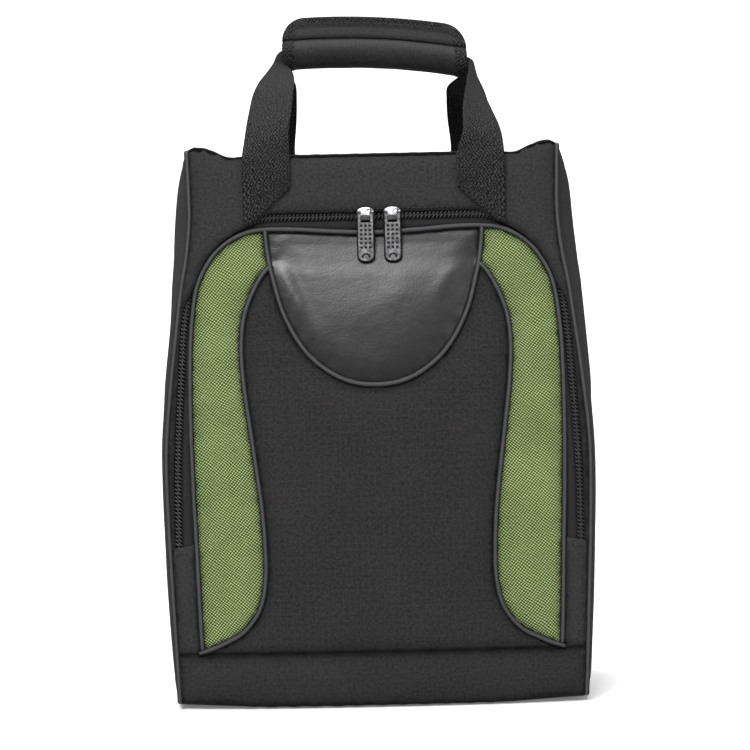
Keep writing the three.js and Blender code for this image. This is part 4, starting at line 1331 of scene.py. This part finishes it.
def build_pull_details():
    """Black pieces of painted shade in the zip pulls' pits and slot and along their rim, and the sliders'
    domed crowns, bodies and dark ovals of painted shadow.
    """
    for name, side in SIDES:
        x = PULL_X + side * PULL_SPACING / 2
        pits = [(x + PIT_SPACING * column, PIT_TOP - PIT_SPACING * row, 5.4)
                for row in range(6) for column in (-1, 0, 1)]
        place(ovals(f"{name}_pull_pits", pits, (1.05, 0.95, 0.16), shade_black), "zip_metal", f"{name}_pull")
        turns = np.linspace(0, math.pi, 15)
        tip = np.column_stack([x + PULL_HALF_WIDTH * np.cos(turns), PULL_END + 3 - 3.2 * np.sin(turns)])
        top = ZIP_TOP + 0.6
        rim = np.vstack([[[x + PULL_HALF_WIDTH, top]], tip, [[x - PULL_HALF_WIDTH, top]]])
        arch = np.column_stack([x + 2.3 * np.cos(turns), PULL_END + 2.4 + 2.3 * np.sin(turns)])
        for part, line, out in (("rim", rim, 4.4), ("slot", arch, 4.7)):
            path = wall_points(*resample(line, 1.2).T, out)
            cord = tube_piece(f"{name}_pull_{part}", path, SHADE_CORD_RADIUS, shade_black, sides=8)
            place(cord, "zip_metal", f"{name}_pull")
        # The shade oval is a dark sheet of painted shadow round the slider's body.
        for part, spot, radii, finish in (("crown", (x, 327.7, 4.5), (2.9, 2.2, 2.0), metal),
                                          ("body", (x, 328.4, 2.6), (6.2, 3.0, 1.1), bright_metal),
                                          ("shade", (x, 328.0, 2.2), (6.9, 3.9, 0.9), shade_black)):
            place(ovals(f"{name}_slider_{part}", [spot], radii, finish), "zip_metal", f"{name}_slider")


def build_stitching():
    """Top stitching of the header."""
    front_out = (0, -math.cos(LEAN), math.sin(LEAN))
    edge = offset_line(header_edge(), -2.0)
    edge = edge[(edge[:, 1] > 280) & (np.abs(edge[:, 0]) < side_at(edge[:, 1]) - 4)]
    header = stitch_piece("header_stitches", [on_front(edge, 2.2)], [front_out], thread)
    place(header, "shell_fabric", "bag")


# Studio


def build_studio():
    """A plain white floor that curves up into a wall all round the bag, soft lights and the camera."""
    scene = bpy.context.scene
    turns = np.linspace(0, 2 * math.pi, 64, endpoint=False)
    curve = [(3 + 0.5 * math.sin(a), 0.5 - 0.5 * math.cos(a)) for a in np.linspace(0, math.pi / 2, 12)]
    for name, profile, glow in (
        ("studio_floor", [(0.02, 0.0), (1.2, 0.0)], 0.15),
        ("studio_wall", [(1.2, 0.0)] + curve + [(3.5, 4.0)], 0.95),
    ):
        paper = bpy.data.materials.new(name)
        paper.use_nodes = True
        shader = paper.node_tree.nodes["Principled BSDF"]
        shader.inputs["Base Color"].default_value = (0.95, 0.95, 0.95, 1)
        shader.inputs["Roughness"].default_value = 0.9
        shader.inputs["Emission Color"].default_value = (1, 1, 1, 1)
        shader.inputs["Emission Strength"].default_value = glow
        rows = [[(reach * math.cos(a), reach * math.sin(a), z) for a in turns] for reach, z in profile]
        sheet = grid_piece(name, np.array(rows) / MM, paper, around=True)
        sheet.visible_glossy = False
        sheet.visible_diffuse = name == "studio_floor"
        sheet.visible_shadow = name == "studio_floor"

    world = bpy.data.worlds.new("studio")
    world.use_nodes = True
    world.node_tree.nodes["Background"].inputs["Color"].default_value = (1, 1, 1, 1)
    world.node_tree.nodes["Background"].inputs["Strength"].default_value = 0.22
    scene.world = world
    for name, where, size, power in (
        ("key", (-0.5, -1.4, 1.6), 1.0, 34),
        ("fill", (1.6, -1.3, 0.6), 0.8, 7),
        ("top", (0.0, 0.0, 2.2), 1.6, 60),
    ):
        lamp = bpy.data.lights.new(name, "AREA")
        lamp.shape = "DISK"
        lamp.size = size
        lamp.energy = power
        light = bpy.data.objects.new(name, lamp)
        light.location = where
        light.rotation_euler = (Vector((0, 0, 0.25)) - Vector(where)).to_track_quat("-Z", "Y").to_euler()
        scene.collection.objects.link(light)

    camera = bpy.data.objects.new("camera", bpy.data.cameras.new("camera"))
    camera.data.sensor_width = 36
    camera.data.angle = math.radians(19.8)
    camera.location = (-0.001, -1.5, 0.219)
    roll = Matrix.Rotation(math.radians(90), 4, "X") @ Matrix.Rotation(math.radians(-1.25), 4, "Z")
    camera.rotation_euler = roll.to_euler()
    scene.collection.objects.link(camera)
    scene.camera = camera
    scene.view_settings.view_transform = "Standard"


build_front()
build_front_pipings()
build_edge_pipings()
build_zip()
build_side_panels()
build_top_panel()
build_back()
build_door_lining()
build_base()
build_straps()
build_grip()
build_stitching()
build_pull_details()
dress_cad_nodes()
build_studio()
